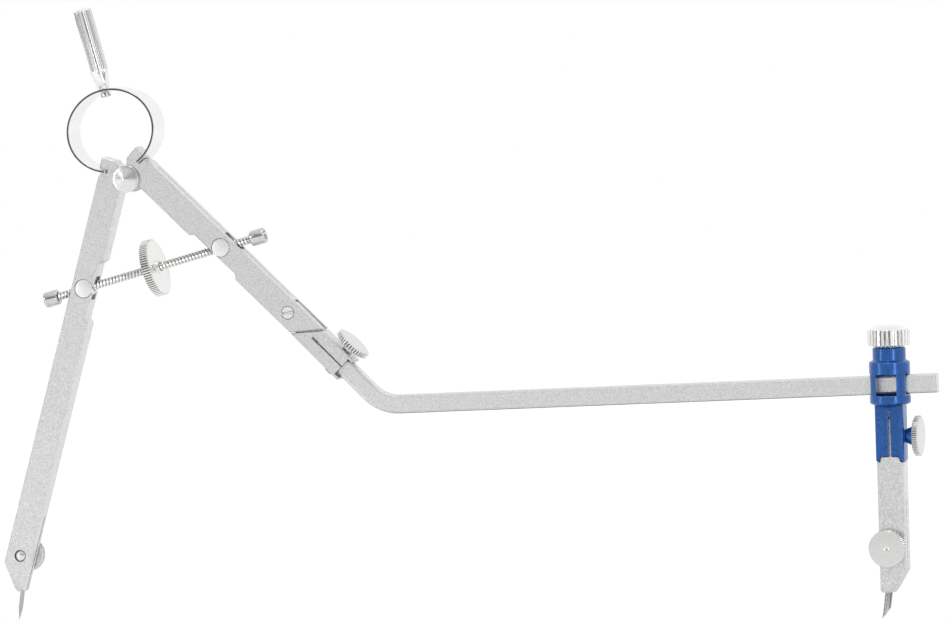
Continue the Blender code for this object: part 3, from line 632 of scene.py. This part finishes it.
def sharpen(data, angle):
    data.shade_smooth()
    data.set_sharp_from_angle(angle=math.radians(angle))


def shown(name, shape, where, material, sharp=32.0):
    """A form as an object, moved from its own place to the model's frame."""
    bmesh.ops.transform(shape, matrix=where, verts=shape.verts)
    data = bpy.data.meshes.new(name)
    shape.to_mesh(data)
    shape.free()
    sharpen(data, sharp)
    if material:
        data.materials.append(material)
    return linked(name, data)


def discard(item):
    data = item.data
    bpy.data.objects.remove(item)
    bpy.data.meshes.remove(data)


def reshape(item, operation, shape, where):
    """Cuts or joins one form at once, so that no helper is left in the scene."""
    tool = shown(item.name + "_form", shape, where, None)
    boolean = item.modifiers.new(operation, "BOOLEAN")
    boolean.operation = operation
    boolean.solver = "EXACT"
    boolean.object = tool
    bpy.context.view_layer.update()
    depsgraph = bpy.context.evaluated_depsgraph_get()
    data = bpy.data.meshes.new_from_object(item.evaluated_get(depsgraph))
    item.modifiers.remove(boolean)
    old = item.data
    item.data = data
    bpy.data.meshes.remove(old)
    discard(tool)


def cut(item, shape, where):
    reshape(item, "DIFFERENCE", shape, where)


def join(item, shape, where):
    reshape(item, "UNION", shape, where)


def crisp(item, angle=32.0):
    """Clears empty faces that a cut can leave, and keeps the corners sharp."""
    shape = bmesh.new()
    shape.from_mesh(item.data)
    bmesh.ops.dissolve_degenerate(shape, dist=0.0000002, edges=shape.edges[:])
    shape.to_mesh(item.data)
    shape.free()
    sharpen(item.data, angle)


def settle(item, body, node):
    """Puts a finished piece on its body in place of the node that it stands for."""
    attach(item, body)
    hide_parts(node)


# Head


def make_handle():
    """Round-bottomed flutes that run out into the tapered foot, and a rounded top."""
    flutes = 12
    per_flute = 10
    steps = flutes * per_flute
    land = 0.12
    roundness = 0.7
    foot = handle_foot
    waist = foot + 0.0046
    top = foot + handle_length
    radius = 0.0027
    depth = 0.00034
    foot_groove_shade = 0.9
    profile = [
        (0.0, foot, 0.0),
        (0.00150, foot, 0.0),
        (0.00170, foot + 0.00018, 0.0),
        (0.00204, waist - 0.0022, 0.0),
        (0.00238, waist - 0.0005, 0.12),
        (0.00255, waist + 0.0002, 0.6),
        (0.00268, waist + 0.0008, 1.0),
        (radius, waist + 0.0016, 1.0),
        (radius, top - 0.0009, 1.0),
        (radius - 0.00012, top - 0.0005, 0.95),
        (radius - 0.00035, top - 0.0002, 0.8),
        (radius - 0.0008, top, 0.3),
        (radius - 0.0013, top + 0.00002, 0.0),
        (0.0, top + 0.00002, 0.0),
    ]
    shape = bmesh.new()
    dip_layer = shape.verts.layers.float.new("dip")
    rows = []
    for reach, height, fluted in profile:
        if reach == 0:
            rows.append([shape.verts.new((0, 0, height))])
            continue
        # Painted shade: the foot carries the dark lines of the flutes on down, where the flutes are
        # gone and the metal is smooth
        marked = foot_groove_shade if foot < height < waist else fluted
        row = []
        for step in range(steps):
            angle = 2 * math.pi * step / steps
            share = (step % per_flute) / per_flute
            dip = math.sin(math.pi * (share - land) / (1 - land)) ** roundness if share > land else 0.0
            way = reach - depth * fluted * dip
            vertex = shape.verts.new((way * math.cos(angle), way * math.sin(angle), height))
            vertex[dip_layer] = marked * dip
            row.append(vertex)
        rows.append(row)
    join_rows(shape, rows)
    face_out(shape)
    item = shown("fluted_handle", shape, head, handle_chrome, 40)
    settle(item, "head", "handle")


def make_handle_screw():
    """Slotted screw head under the ring's top, with its shank up into the handle."""
    head_radius = 0.00135
    head_height = 0.0012
    shank = 0.0008
    shank_top = 0.0305
    slot_width, slot_depth = 0.0005, 0.0004
    under = ring_top - ring_strip - clearance
    low = under - head_height
    rings = [(0, low), *fillet(head_radius, low, 0.0002, -1)]
    rings += [(head_radius, under - 0.0001), (head_radius - 0.0001, under)]
    rings += [(shank, under), (shank, shank_top)]
    item = shown("ring_screw", turned(rings, 48), head, cap_steel)
    cut(item, block(0.004, slot_width, 2 * slot_depth, (0, 0, low)), head)
    crisp(item)
    settle(item, "head", "handle_screw")


def make_ring_half(name, side):
    """Half of the ring spring, from under the handle down into the leg's notch."""
    first = math.asin(ring_end_offset / ring_half_width)
    steps = 44
    edge = 0.00009
    half = ring_band / 2
    thick = ring_strip / 2
    section = [
        (-thick, -half + edge),
        (-thick + edge, -half),
        (thick - edge, -half),
        (thick, -half + edge),
        (thick, half - edge),
        (thick - edge, half),
        (-thick + edge, half),
        (-thick, half - edge),
    ]
    shape = bmesh.new()
    rows = []
    for step in range(steps + 1):
        angle = math.pi + (first - math.pi) * step / steps
        middle = Vector((ring_half_width * math.sin(angle), -ring_half_height * math.cos(angle)))
        normal = Vector((ring_half_height * math.sin(angle), -ring_half_width * math.cos(angle)))
        normal.normalize()
        row = []
        for out, deep in section:
            point = middle + normal * out
            row.append(shape.verts.new((side * point.x, deep, point.y + ring_centre_height)))
        rows.append(row)
    join_rows(shape, rows)
    shape.faces.new(rows[0])
    shape.faces.new(rows[-1])
    face_out(shape)
    item = shown(name, shape, head, ring_metal, 40)
    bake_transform(item)
    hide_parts("ring_spring")


def make_pivot():
    """Coned and turned front flange, its pin, and the back flange with the peened pin end."""
    face = leg_thickness / 2 + clearance
    radius = 0.0038
    rim = 0.0006
    edge = 0.0002
    cone_radius = 0.00355
    cone_height = 0.0011
    cone_steps = 6
    pin = 0.0029
    pin_end = 0.0015
    tip = -face - rim - cone_height
    rings = [(0, tip)]
    for step in range(1, cone_steps + 1):
        share = step / cone_steps
        rings.append((cone_radius * share, tip + cone_height * share))
    rings += fillet(radius, -face - rim, edge, -1)
    rings += [(radius, -face - 0.0001), (radius - 0.0001, -face), (pin, -face)]
    rings += [(pin, face - clearance), (pin_end, face - clearance), (pin_end, face + rim)]
    front = shown("pivot_front", turned(rings, 96, "Y"), head, pivot_metal)
    settle(front, "head", "pivot_roller")
    hole = pin_end + clearance
    rings = [(radius, face), *fillet(radius, face + rim, edge, 1), (hole, face + rim)]
    back = shown("pivot_back", turned(rings, 96, "Y"), head, pivot_metal)
    cut(back, turned([(hole, face - 0.001), (hole, face + 0.002)], 48, "Y"), head)
    crisp(back)
    settle(back, "head", "pivot_flange")


# Spindle

thread_crest = 0.00125
thread_root = 0.00096
thread_pitch = 0.001


def thread_shape(start, end, way):
    """One run of screw thread along X. Its rows follow the helix, left or right handed.

    The helix runs past both ends, and is cut flat and closed there.
    """
    around = 28
    profile = ((0.0, thread_root), (0.12, thread_root), (0.46, thread_crest), (0.60, thread_crest))
    turns = int((end - start) / thread_pitch)
    shape = bmesh.new()
    # The same layers as those of the core, so that the two can be joined
    shape.verts.layers.float.new("reach")
    dip_layer = shape.verts.layers.float.new("dip")
    rows = []
    for turn in range(-2, turns + 2):
        for share, radius in profile:
            row = []
            for step in range(around + 1):
                angle = 2 * math.pi * step / around
                along = start + (turn + share + step / around) * thread_pitch
                spot = (along, radius * math.cos(way * angle), radius * math.sin(way * angle))
                vertex = shape.verts.new(spot)
                vertex[dip_layer] = (thread_crest - radius) / (thread_crest - thread_root)
                row.append(vertex)
            rows.append(row)
    for low, high in zip(rows, rows[1:]):
        for step in range(around):
            shape.faces.new((low[step], low[step + 1], high[step + 1], high[step]))
    bmesh.ops.remove_doubles(shape, verts=shape.verts, dist=0.000002)
    for place_along, side in ((start, -1), (end, 1)):
        every = [*shape.verts, *shape.edges, *shape.faces]
        bmesh.ops.bisect_plane(
            shape,
            geom=every,
            dist=0.0000001,
            plane_co=(place_along, 0, 0),
            plane_no=(side, 0, 0),
            clear_outer=True,
        )
    rims = [edge for edge in shape.edges if len(edge.link_faces) == 1]
    bmesh.ops.holes_fill(shape, edges=rims, sides=0)
    face_out(shape)
    return shape


def make_spindle():
    """Left-handed thread on one side of the wheel, right-handed on the other, on one core."""
    core_half = 0.0325
    thread_far = 0.0324
    thread_near = 0.0019
    core = rod(thread_root, -core_half, core_half, 32, "X")
    item = shown("threaded_spindle", core, spindle_place, spindle_steel, 25)
    for way, start, end in ((-1, -thread_far, -thread_near), (1, thread_near, thread_far)):
        run = shown("thread_run", thread_shape(start, end, way), spindle_place, None)
        joined = bmesh.new()
        joined.from_mesh(item.data)
        joined.from_mesh(run.data)
        joined.to_mesh(item.data)
        joined.free()
        discard(run)
    crisp(item, 25)
    settle(item, "spindle", "spindle")


def make_wheel():
    """Knurled disc with a short hub and a through bore, turned as one closed form."""
    radius = 0.0081
    rim_face = 0.00755
    edge = 0.00028
    half = 0.0013
    hub = 0.0019
    hub_half = 0.0018
    rings = [(spindle_bore, -hub_half), *fillet(hub, -hub_half, 0.0002, -1), (hub, -half)]
    rings += [(rim_face, -half), (radius, -half + edge, True)]
    rings += [(radius, half - edge, True), (rim_face, half), (hub, half)]
    rings += [*fillet(hub, hub_half, 0.0002, 1), (spindle_bore, hub_half)]
    shape = turned(rings, along="X", teeth=72, tooth=0.00026, land=0.42, hollow=True)
    item = shown("knurled_wheel", shape, spindle_place, wheel_metal, 28)
    settle(item, "wheel", "adjusting_wheel")


def make_cap(name, side, node):
    """Turned cap with a rounded rim, a drilled end and a fine line round its middle."""
    radius = 0.0022
    edge = 0.0003
    outer = spindle_length / 2
    inner = outer - cap_length
    floor = outer - 0.0013
    rings = [(0.0015, inner), *fillet(radius, inner, edge, -1)]
    rings += [(radius, outer - 0.0012), (radius - 0.00008, outer - 0.0011), (radius, outer - 0.001)]
    rings += fillet(radius, outer, edge, 1)
    rings += [(0.0012, outer), (0.00105, outer - 0.0007), (0, outer - 0.0011)]
    rings = [(reach, side * height) for reach, height in rings]
    item = shown(name, turned(rings, 64, "X"), spindle_place, cap_steel)
    bore = turned([(spindle_bore, side * (inner - 0.001)), (spindle_bore, side * floor)], 32, "X")
    cut(item, bore, spindle_place)
    crisp(item)
    settle(item, "wheel", node)


def make_leg_nut(name, side, body, node):
    """Round nut across the leg, bored for the spindle."""
    radius = 0.00255
    edge = 0.00018
    past = 0.005
    half = leg_thickness / 2
    where = place(head, side * nut_side, -nut_drop)
    rings = [(0, -half), *fillet(radius, -half, edge, -1), *fillet(radius, half, edge, 1), (0, half)]
    item = shown(name, turned(rings, 72, "Y"), where, nut_metal)
    cut(item, turned([(spindle_bore, -past), (spindle_bore, past)], 32, "X"), where)
    crisp(item)
    settle(item, body, node)


# Knurled screws

knurl_depth = 0.00022
knurl_edge = 0.0003
knurl_land = 0.42
neck_radius = 0.00075
collar_radius = 0.0015


def knurl_rings(radius, start, thickness, way, dome):
    """Rings of a knurled disc: a rounded edge, the toothed rim, a turned face and a low dome."""
    end = start + thickness
    inner = radius - knurl_edge - knurl_depth
    rings = [(0, start), (inner, start)]
    rings += [(radius, start + knurl_edge, True), (radius, end - knurl_edge, True)]
    rings += [(inner, end), (radius * 0.62, end + dome * 0.8), (radius * 0.3, end + dome)]
    rings += [(0, end + dome)]
    return [(reach, way * height, *marks) for reach, height, *marks in rings]


def make_knurled_screw(name, node, where, along, head_size, stem, way=1, dimple=0.0, dome=0.0003):
    """A knurled head joined to its stem, on the body and for the node of the same name.

    The head is its radius, start, thickness and teeth. The stem is rings along the same axis.
    """
    dimple_depth = 0.0006
    radius, start, thickness, teeth = head_size
    rings = knurl_rings(radius, start, thickness, way, dome)
    shape = turned(rings, along=along, teeth=teeth, tooth=knurl_depth, land=knurl_land)
    item = shown(name, shape, where, screw_metal, 28)
    join(item, turned(stem, 48, along), where)
    if dimple:
        face = way * (start + thickness)
        rings = [(dimple, face + way * 0.002), (dimple, face), (0, face - way * dimple_depth)]
        cut(item, turned(rings, 32, along), where)
    crisp(item, 28)
    settle(item, node, node)


def make_needle_screw():
    """Screw through the needle leg from its back, with a rounded end at the front."""
    half = leg_thickness / 2
    radius = 0.0014
    start = half + 0.0005
    stem = [(0, -half), (0.0006, -half + 0.00004), (0.0011, -half + 0.00018)]
    stem += [(radius, -half + 0.0004), (radius, start + 0.0008)]
    where = place(left_leg, -leg_middle + 0.0005, -left_leg_length + 0.0099)
    head_size = (0.0049, start, 0.0017, 52)
    make_knurled_screw("needle_clamp_screw", "needle_screw", where, "Y", head_size, stem)


def make_socket_screw():
    """Pinch screw across the knee's socket, with a small head on its far side."""
    side = leg_width / 2 + clearance
    far_radius = 0.0012
    start = side + 0.0014
    stem = [*fillet(far_radius, -side - 0.0006, 0.0002, -1), (far_radius, -side)]
    stem += [(neck_radius, -side), (neck_radius, side)]
    stem += [(collar_radius, side), (collar_radius, start + 0.0009)]
    where = place(knee, 0, -socket_end + 0.0038)
    head_size = (0.0052, start, 0.0018, 38)
    make_knurled_screw("socket_pinch_screw", "socket_screw", where, "X", head_size, stem)


def make_fork_screw():
    """Pinch screw across the clamp's fork, with its head at the boss."""
    start = fork_boss_end + clearance
    shoulder = start - 0.0001
    stem = [(neck_radius, -fork_width / 2), (neck_radius, shoulder)]
    stem += [(collar_radius, shoulder), (collar_radius, start + 0.0008)]
    head_size = (0.0055, start, 0.0017, 58)
    make_knurled_screw("fork_pinch_screw", "fork_screw", fork_screw_place, "X", head_size, stem)


def make_lead_screw():
    """Flat-faced screw on the front of the lead holder, with a centre mark."""
    half = holder_thickness / 2
    radius = 0.0013
    start = half + 0.0005
    stem = [(radius, -start - 0.0008), *fillet(radius, half, 0.0002, 1)]
    make_knurled_screw(
        "lead_clamp_screw",
        "lead_screw",
        place(holder, -0.00105, (0.3411 - 1) * holder_length),
        "Y",
        (0.00515, start, 0.0017, 60),
        stem,
        way=-1,
        dimple=0.0009,
        dome=0.00003,
    )


# Clamp


def make_clamp_screw():
    """Large screw with coarse flutes and a wide chamfer on its top."""
    start = clamp_neck_top + clearance
    top = start + 0.0056
    radius = 0.00585
    face = 0.0034
    tip = 0.0031
    rings = [(0, start), (radius - 0.0007, start), (radius, start + 0.0004, True)]
    rings += [(radius, top - 0.0012, True), (radius - 0.00045, top - 0.0011)]
    rings += [(radius - 0.0009, top - 0.0008), (face + 0.0003, top - 0.0001), (face, top), (0, top)]
    shape = turned(rings, teeth=30, tooth=0.0004)
    item = shown("clamp_head_screw", shape, clamp, clamp_screw_metal, 28)
    stem = [(0, tip), (clamp_screw_radius - 0.0002, tip), (clamp_screw_radius, tip + 0.0002)]
    stem += [(clamp_screw_radius, start + 0.002)]
    join(item, turned(stem, 48), clamp)
    crisp(item, 28)
    settle(item, "clamp_screw", "clamp_screw")


def make_clamp_body():
    """Turned barrel with a window for the bar, its collar, and the slit fork below."""
    radius = 0.00555
    neck = 0.0045
    low = -clamp_half_flat - clamp_low_ring
    cone_end, cone_length = 0.0023, 0.0012
    collar, top = clamp_neck_bottom, clamp_neck_top
    rings = [(0, low - cone_length), (cone_end, low - cone_length)]
    rings += [(radius - 0.0005, low - 0.00012), (radius - 0.0002, low + 0.00003)]
    rings += [(radius, low + 0.0003), (radius, collar - 0.0007)]
    rings += [(radius - 0.0002, collar - 0.00045), (radius - 0.0006, collar - 0.0002)]
    rings += [(neck, collar), (neck, top - 0.0004)]
    rings += [(neck - 0.0002, top - 0.0001), (neck - 0.0004, top), (0, top)]
    item = shown("clamp_sleeve", turned(rings, 128), clamp, clamp_blue, 30)

    fork_top = low + 0.001
    fork_middle = (0, 0, (fork_top - fork_end) / 2)
    fork = block(fork_width, fork_thickness, fork_end + fork_top, fork_middle, 0.0005, 4)
    join(item, fork, clamp)
    flat_reach = 0.00475
    for side in (-1, 1):
        flat_middle = (side * (flat_reach + radius), 0, 0)
        cut(item, block(2 * radius, 4 * radius, 2 * clamp_half_flat, flat_middle), clamp)
    boss_rim = fillet(0.0027, fork_boss_end, 0.00025, 1)
    join(item, turned([(0, 0), *boss_rim, (0, fork_boss_end)], 64, "X"), fork_screw_place)

    cut(item, rod(clamp_screw_radius + clearance, 0, 0.012, 48), clamp)
    window = bar_height + 2 * clearance
    back_window = 0.0045
    overlap = 0.001
    cut(item, block(window, 2 * radius, window, (0, -radius, 0)), clamp)
    cut(item, block(window, 2 * radius + overlap, back_window, (0, radius, 0)), clamp)
    bar_slot = block(4 * radius, bar_depth + 2 * clearance, window)
    cut(item, bar_slot, place(clamp, turn=-bar_rise))

    past = -fork_end - 0.002
    recess_top = -fork_end + 0.0015
    cut(item, prism(arched(0.0057, past, recess_top, 0.0008), 2 * fork_thickness), clamp)
    tenon_length = 0.0102
    tenon_bore = (0.0041, 0.0037)
    bore_top = recess_top + tenon_length + clearance
    cut(item, block(*tenon_bore, bore_top - past, (0, 0, (bore_top + past) / 2)), clamp)
    slit_top = bore_top + 0.0019
    mouth, slit = 0.00045, 0.000275
    wedge = [(mouth, past), (slit, slit_top), (-slit, slit_top), (-mouth, past)]
    cut(item, prism(wedge, 2 * fork_thickness), clamp)
    cut(item, rod(0.001, -fork_width, 2 * fork_width, 32, "X"), fork_screw_place)
    crisp(item, 30)
    settle(item, "clamp_body", "clamp_body")


# Needle, lead and the pieces that the model shows as they are


def make_needle():
    """Straight shank that narrows to the point in a slight curve."""
    radius = 0.00062
    point = 0.0036
    top = 0.0070
    rings = [(0, -needle_reach)]
    for share in (0.1, 0.3, 0.6, 0.85, 1.0):
        rings.append((radius * share**0.85, -needle_reach + point * share))
    rings += [(radius, top), (0, top)]
    item = shown("drawing_needle", turned(rings, 40), needle_place, needle_steel, 20)
    settle(item, "needle", "needle")


def make_lead():
    """Lead as long as the model's, with its lower end cut to a chisel point."""
    bevel = 0.0034
    straight_from = 0.004
    where = place(holder, -lead_across, -holder_length, -lead_depth, lead_tilt)
    inverse = where.inverted()
    heights = [(inverse @ vertex.co).z for vertex in nodes["lead"].data.vertices]
    bottom, top = min(heights), max(heights)
    rings = [(0, bottom), (lead_radius, bottom), (lead_radius, bottom + straight_from)]
    rings += [(lead_radius, top), (0, top)]
    shape = turned(rings, 56)
    for vertex in shape.verts:
        if vertex.co.z < bottom + straight_from / 4:
            vertex.co.z += bevel * (vertex.co.x + lead_radius) / (2 * lead_radius)
    item = shown("drawing_lead", shape, where, lead_graphite, 30)
    settle(item, "lead", "lead")


def paint_nodes():
    """Nodes whose model shape is right keep it and get their finish."""
    finishes = {
        "left_leg": left_leg_metal,
        "right_leg": right_leg_metal,
        "knee_socket": socket_metal,
        "knee_screw": knee_screw_metal,
        "extension_bar": bar_metal,
        "lead_holder": holder_metal,
    }
    for name, material in finishes.items():
        data = nodes[name].data
        data.materials.clear()
        data.materials.append(material)


make_handle()
make_handle_screw()
make_ring_half("ring_spring_left", -1)
make_ring_half("ring_spring_right", 1)
make_pivot()
make_spindle()
make_wheel()
make_cap("spindle_cap_left", -1, "left_spindle_cap")
make_cap("spindle_cap_right", 1, "right_spindle_cap")
make_leg_nut("leg_nut_left", -1, "left_nut", "left_spindle_nut")
make_leg_nut("leg_nut_right", 1, "right_nut", "right_spindle_nut")
make_needle_screw()
make_socket_screw()
make_fork_screw()
make_lead_screw()
make_clamp_body()
make_clamp_screw()
make_needle()
make_lead()
paint_nodes()


# Studio


def heading(azimuth, rise):
    """A direction from the object in degrees. Azimuth 0 is the front and 90 the right."""
    turn, tilt = math.radians(azimuth), math.radians(rise)
    level = math.cos(tilt)
    return Vector((math.sin(turn) * level, -math.cos(turn) * level, math.sin(tilt)))


def make_camera():
    """Long lens from a little to the right and above, with the small roll of the picture."""
    yaw, rise, roll = 17, 3, math.radians(-1.854)
    distance = 1.8
    sensor = 36
    picture_width = 945
    pixels_per_metre = 3650
    target = head.translation + Vector((0.09842, 0, -0.03859))
    away = heading(yaw, rise)
    right = heading(yaw + 90, 0)
    up = away.cross(right)
    rolled_right = right * math.cos(roll) + up * math.sin(roll)
    rolled_up = up * math.cos(roll) - right * math.sin(roll)
    matrix = Matrix((rolled_right, rolled_up, away)).transposed().to_4x4()
    matrix.translation = target + away * distance
    data = bpy.data.cameras.new("camera")
    data.sensor_width = sensor
    data.lens = sensor * pixels_per_metre * distance / picture_width
    data.clip_start = 0.1
    data.clip_end = 30
    camera = linked("camera", data)
    camera.matrix_world = matrix
    bpy.context.scene.camera = camera


def make_world():
    """The camera sees plain white. Reflections see a room that is darker towards the front."""
    world = bpy.data.worlds.new("studio")
    bpy.context.scene.world = world
    world.use_nodes = True
    world.node_tree.nodes.clear()
    graph = Graph(world.node_tree)
    around = graph.add("ShaderNodeTexCoord").outputs["Generated"]

    # Azimuth and rise of each cone, where it is full and gone, and how bright it is: the front,
    # the ceiling, a band above the front, a dark flag on either side, and one near the camera
    cones = (
        (0, 0, 40, 95, 0.30),
        (0, 90, 15, 55, 0.9),
        (0, 58, 24, 42, 0.92),
        (-72, 0, 6, 14, 0.04),
        (74, 0, 5, 12, 0.04),
        (12, 0, 5, 14, 0.30),
    )
    light = 1.0
    for azimuth, rise, full, gone, level in cones:
        near = graph.dot(around, heading(azimuth, rise))
        outside, inside = math.cos(math.radians(gone)), math.cos(math.radians(full))
        light = graph.mixed(graph.ranged(near, outside, inside, soft=True), light, level)
    camera_ray = graph.add("ShaderNodeLightPath").outputs["Is Camera Ray"]
    light = graph.mixed(camera_ray, light, 1.0)

    mix = graph.add("ShaderNodeMixShader")
    graph.feed(mix.inputs[0], graph.seen())
    for entry, colour in ((mix.inputs[1], grey(0.64)), (mix.inputs[2], light)):
        background = graph.add("ShaderNodeBackground")
        graph.feed(background.inputs["Color"], colour)
        graph.feed(entry, background.outputs[0])
    graph.feed(graph.add("ShaderNodeOutputWorld").inputs["Surface"], mix.outputs[0])


def floor_white():
    """White that shadows still show on, since its glow brings the lit floor just to white.

    The glow grows a little with the distance from the object, where the lamps reach less.
    """
    glow_near, glow_far = 0.405, 0.575
    shader = Shader("floor_white")
    shader.finish(base_color=grey(0.74), roughness=0.9)
    shader.main.inputs["Specular IOR Level"].default_value = 0.0
    distance = shader.add("ShaderNodeVectorMath")
    distance.operation = "LENGTH"
    shader.feed(distance.inputs[0], shader.place)
    reach = shader.ranged(distance.outputs["Value"], 0.3, 1.6, glow_near, glow_far)
    glow = shader.add("ShaderNodeEmission")
    shader.feed(glow.inputs["Color"], grey(1.0))
    shader.feed(glow.inputs["Strength"], shader.calculate("MULTIPLY", shader.seen(), reach))
    both = shader.add("ShaderNodeAddShader")
    shader.feed(both.inputs[0], shader.main.outputs[0])
    shader.feed(both.inputs[1], glow.outputs[0])
    shader.feed(shader.tree.nodes["Material Output"].inputs["Surface"], both.outputs[0])
    return shader.material


def make_floor():
    """Pale floor that melts into the backdrop and keeps the soft shadow.

    It lies just under the lowest place that the arm reaches when the legs close or the knee
    folds, so that no pose sinks into it.
    """
    arm_reach_below_points = 0.0925
    low = min(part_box("needle")[0].z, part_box("lead")[0].z) - arm_reach_below_points
    shape = bmesh.new()
    bmesh.ops.create_grid(shape, x_segments=1, y_segments=1, size=4.0)
    data = bpy.data.meshes.new("floor")
    shape.to_mesh(data)
    shape.free()
    data.materials.append(floor_white())
    floor = linked("floor", data)
    floor.location = (0, 0, low)


def make_lights():
    """Two upright strip lamps in front for crisp lines, and a soft lamp above."""
    aim_at = Vector((0.1, 0, -0.08))
    distance = 1.3
    for name, azimuth, rise, width, height, power in (
        ("left_strip", -43, 8, 0.08, 0.8, 1.9),
        ("right_strip", 47, 8, 0.11, 0.8, 2.4),
        ("top_soft", 10, 70, 0.3, 0.3, 3.0),
    ):
        data = bpy.data.lights.new(name, "AREA")
        data.shape = "RECTANGLE"
        data.size = width
        data.size_y = height
        data.energy = power
        away = heading(azimuth, rise)
        lamp = linked(name, data)
        lamp.location = aim_at + away * distance
        lamp.rotation_euler = (-away).to_track_quat("-Z", "Y").to_euler()


make_camera()
make_world()
make_floor()
make_lights()

bpy.context.scene.view_settings.view_transform = "Standard"
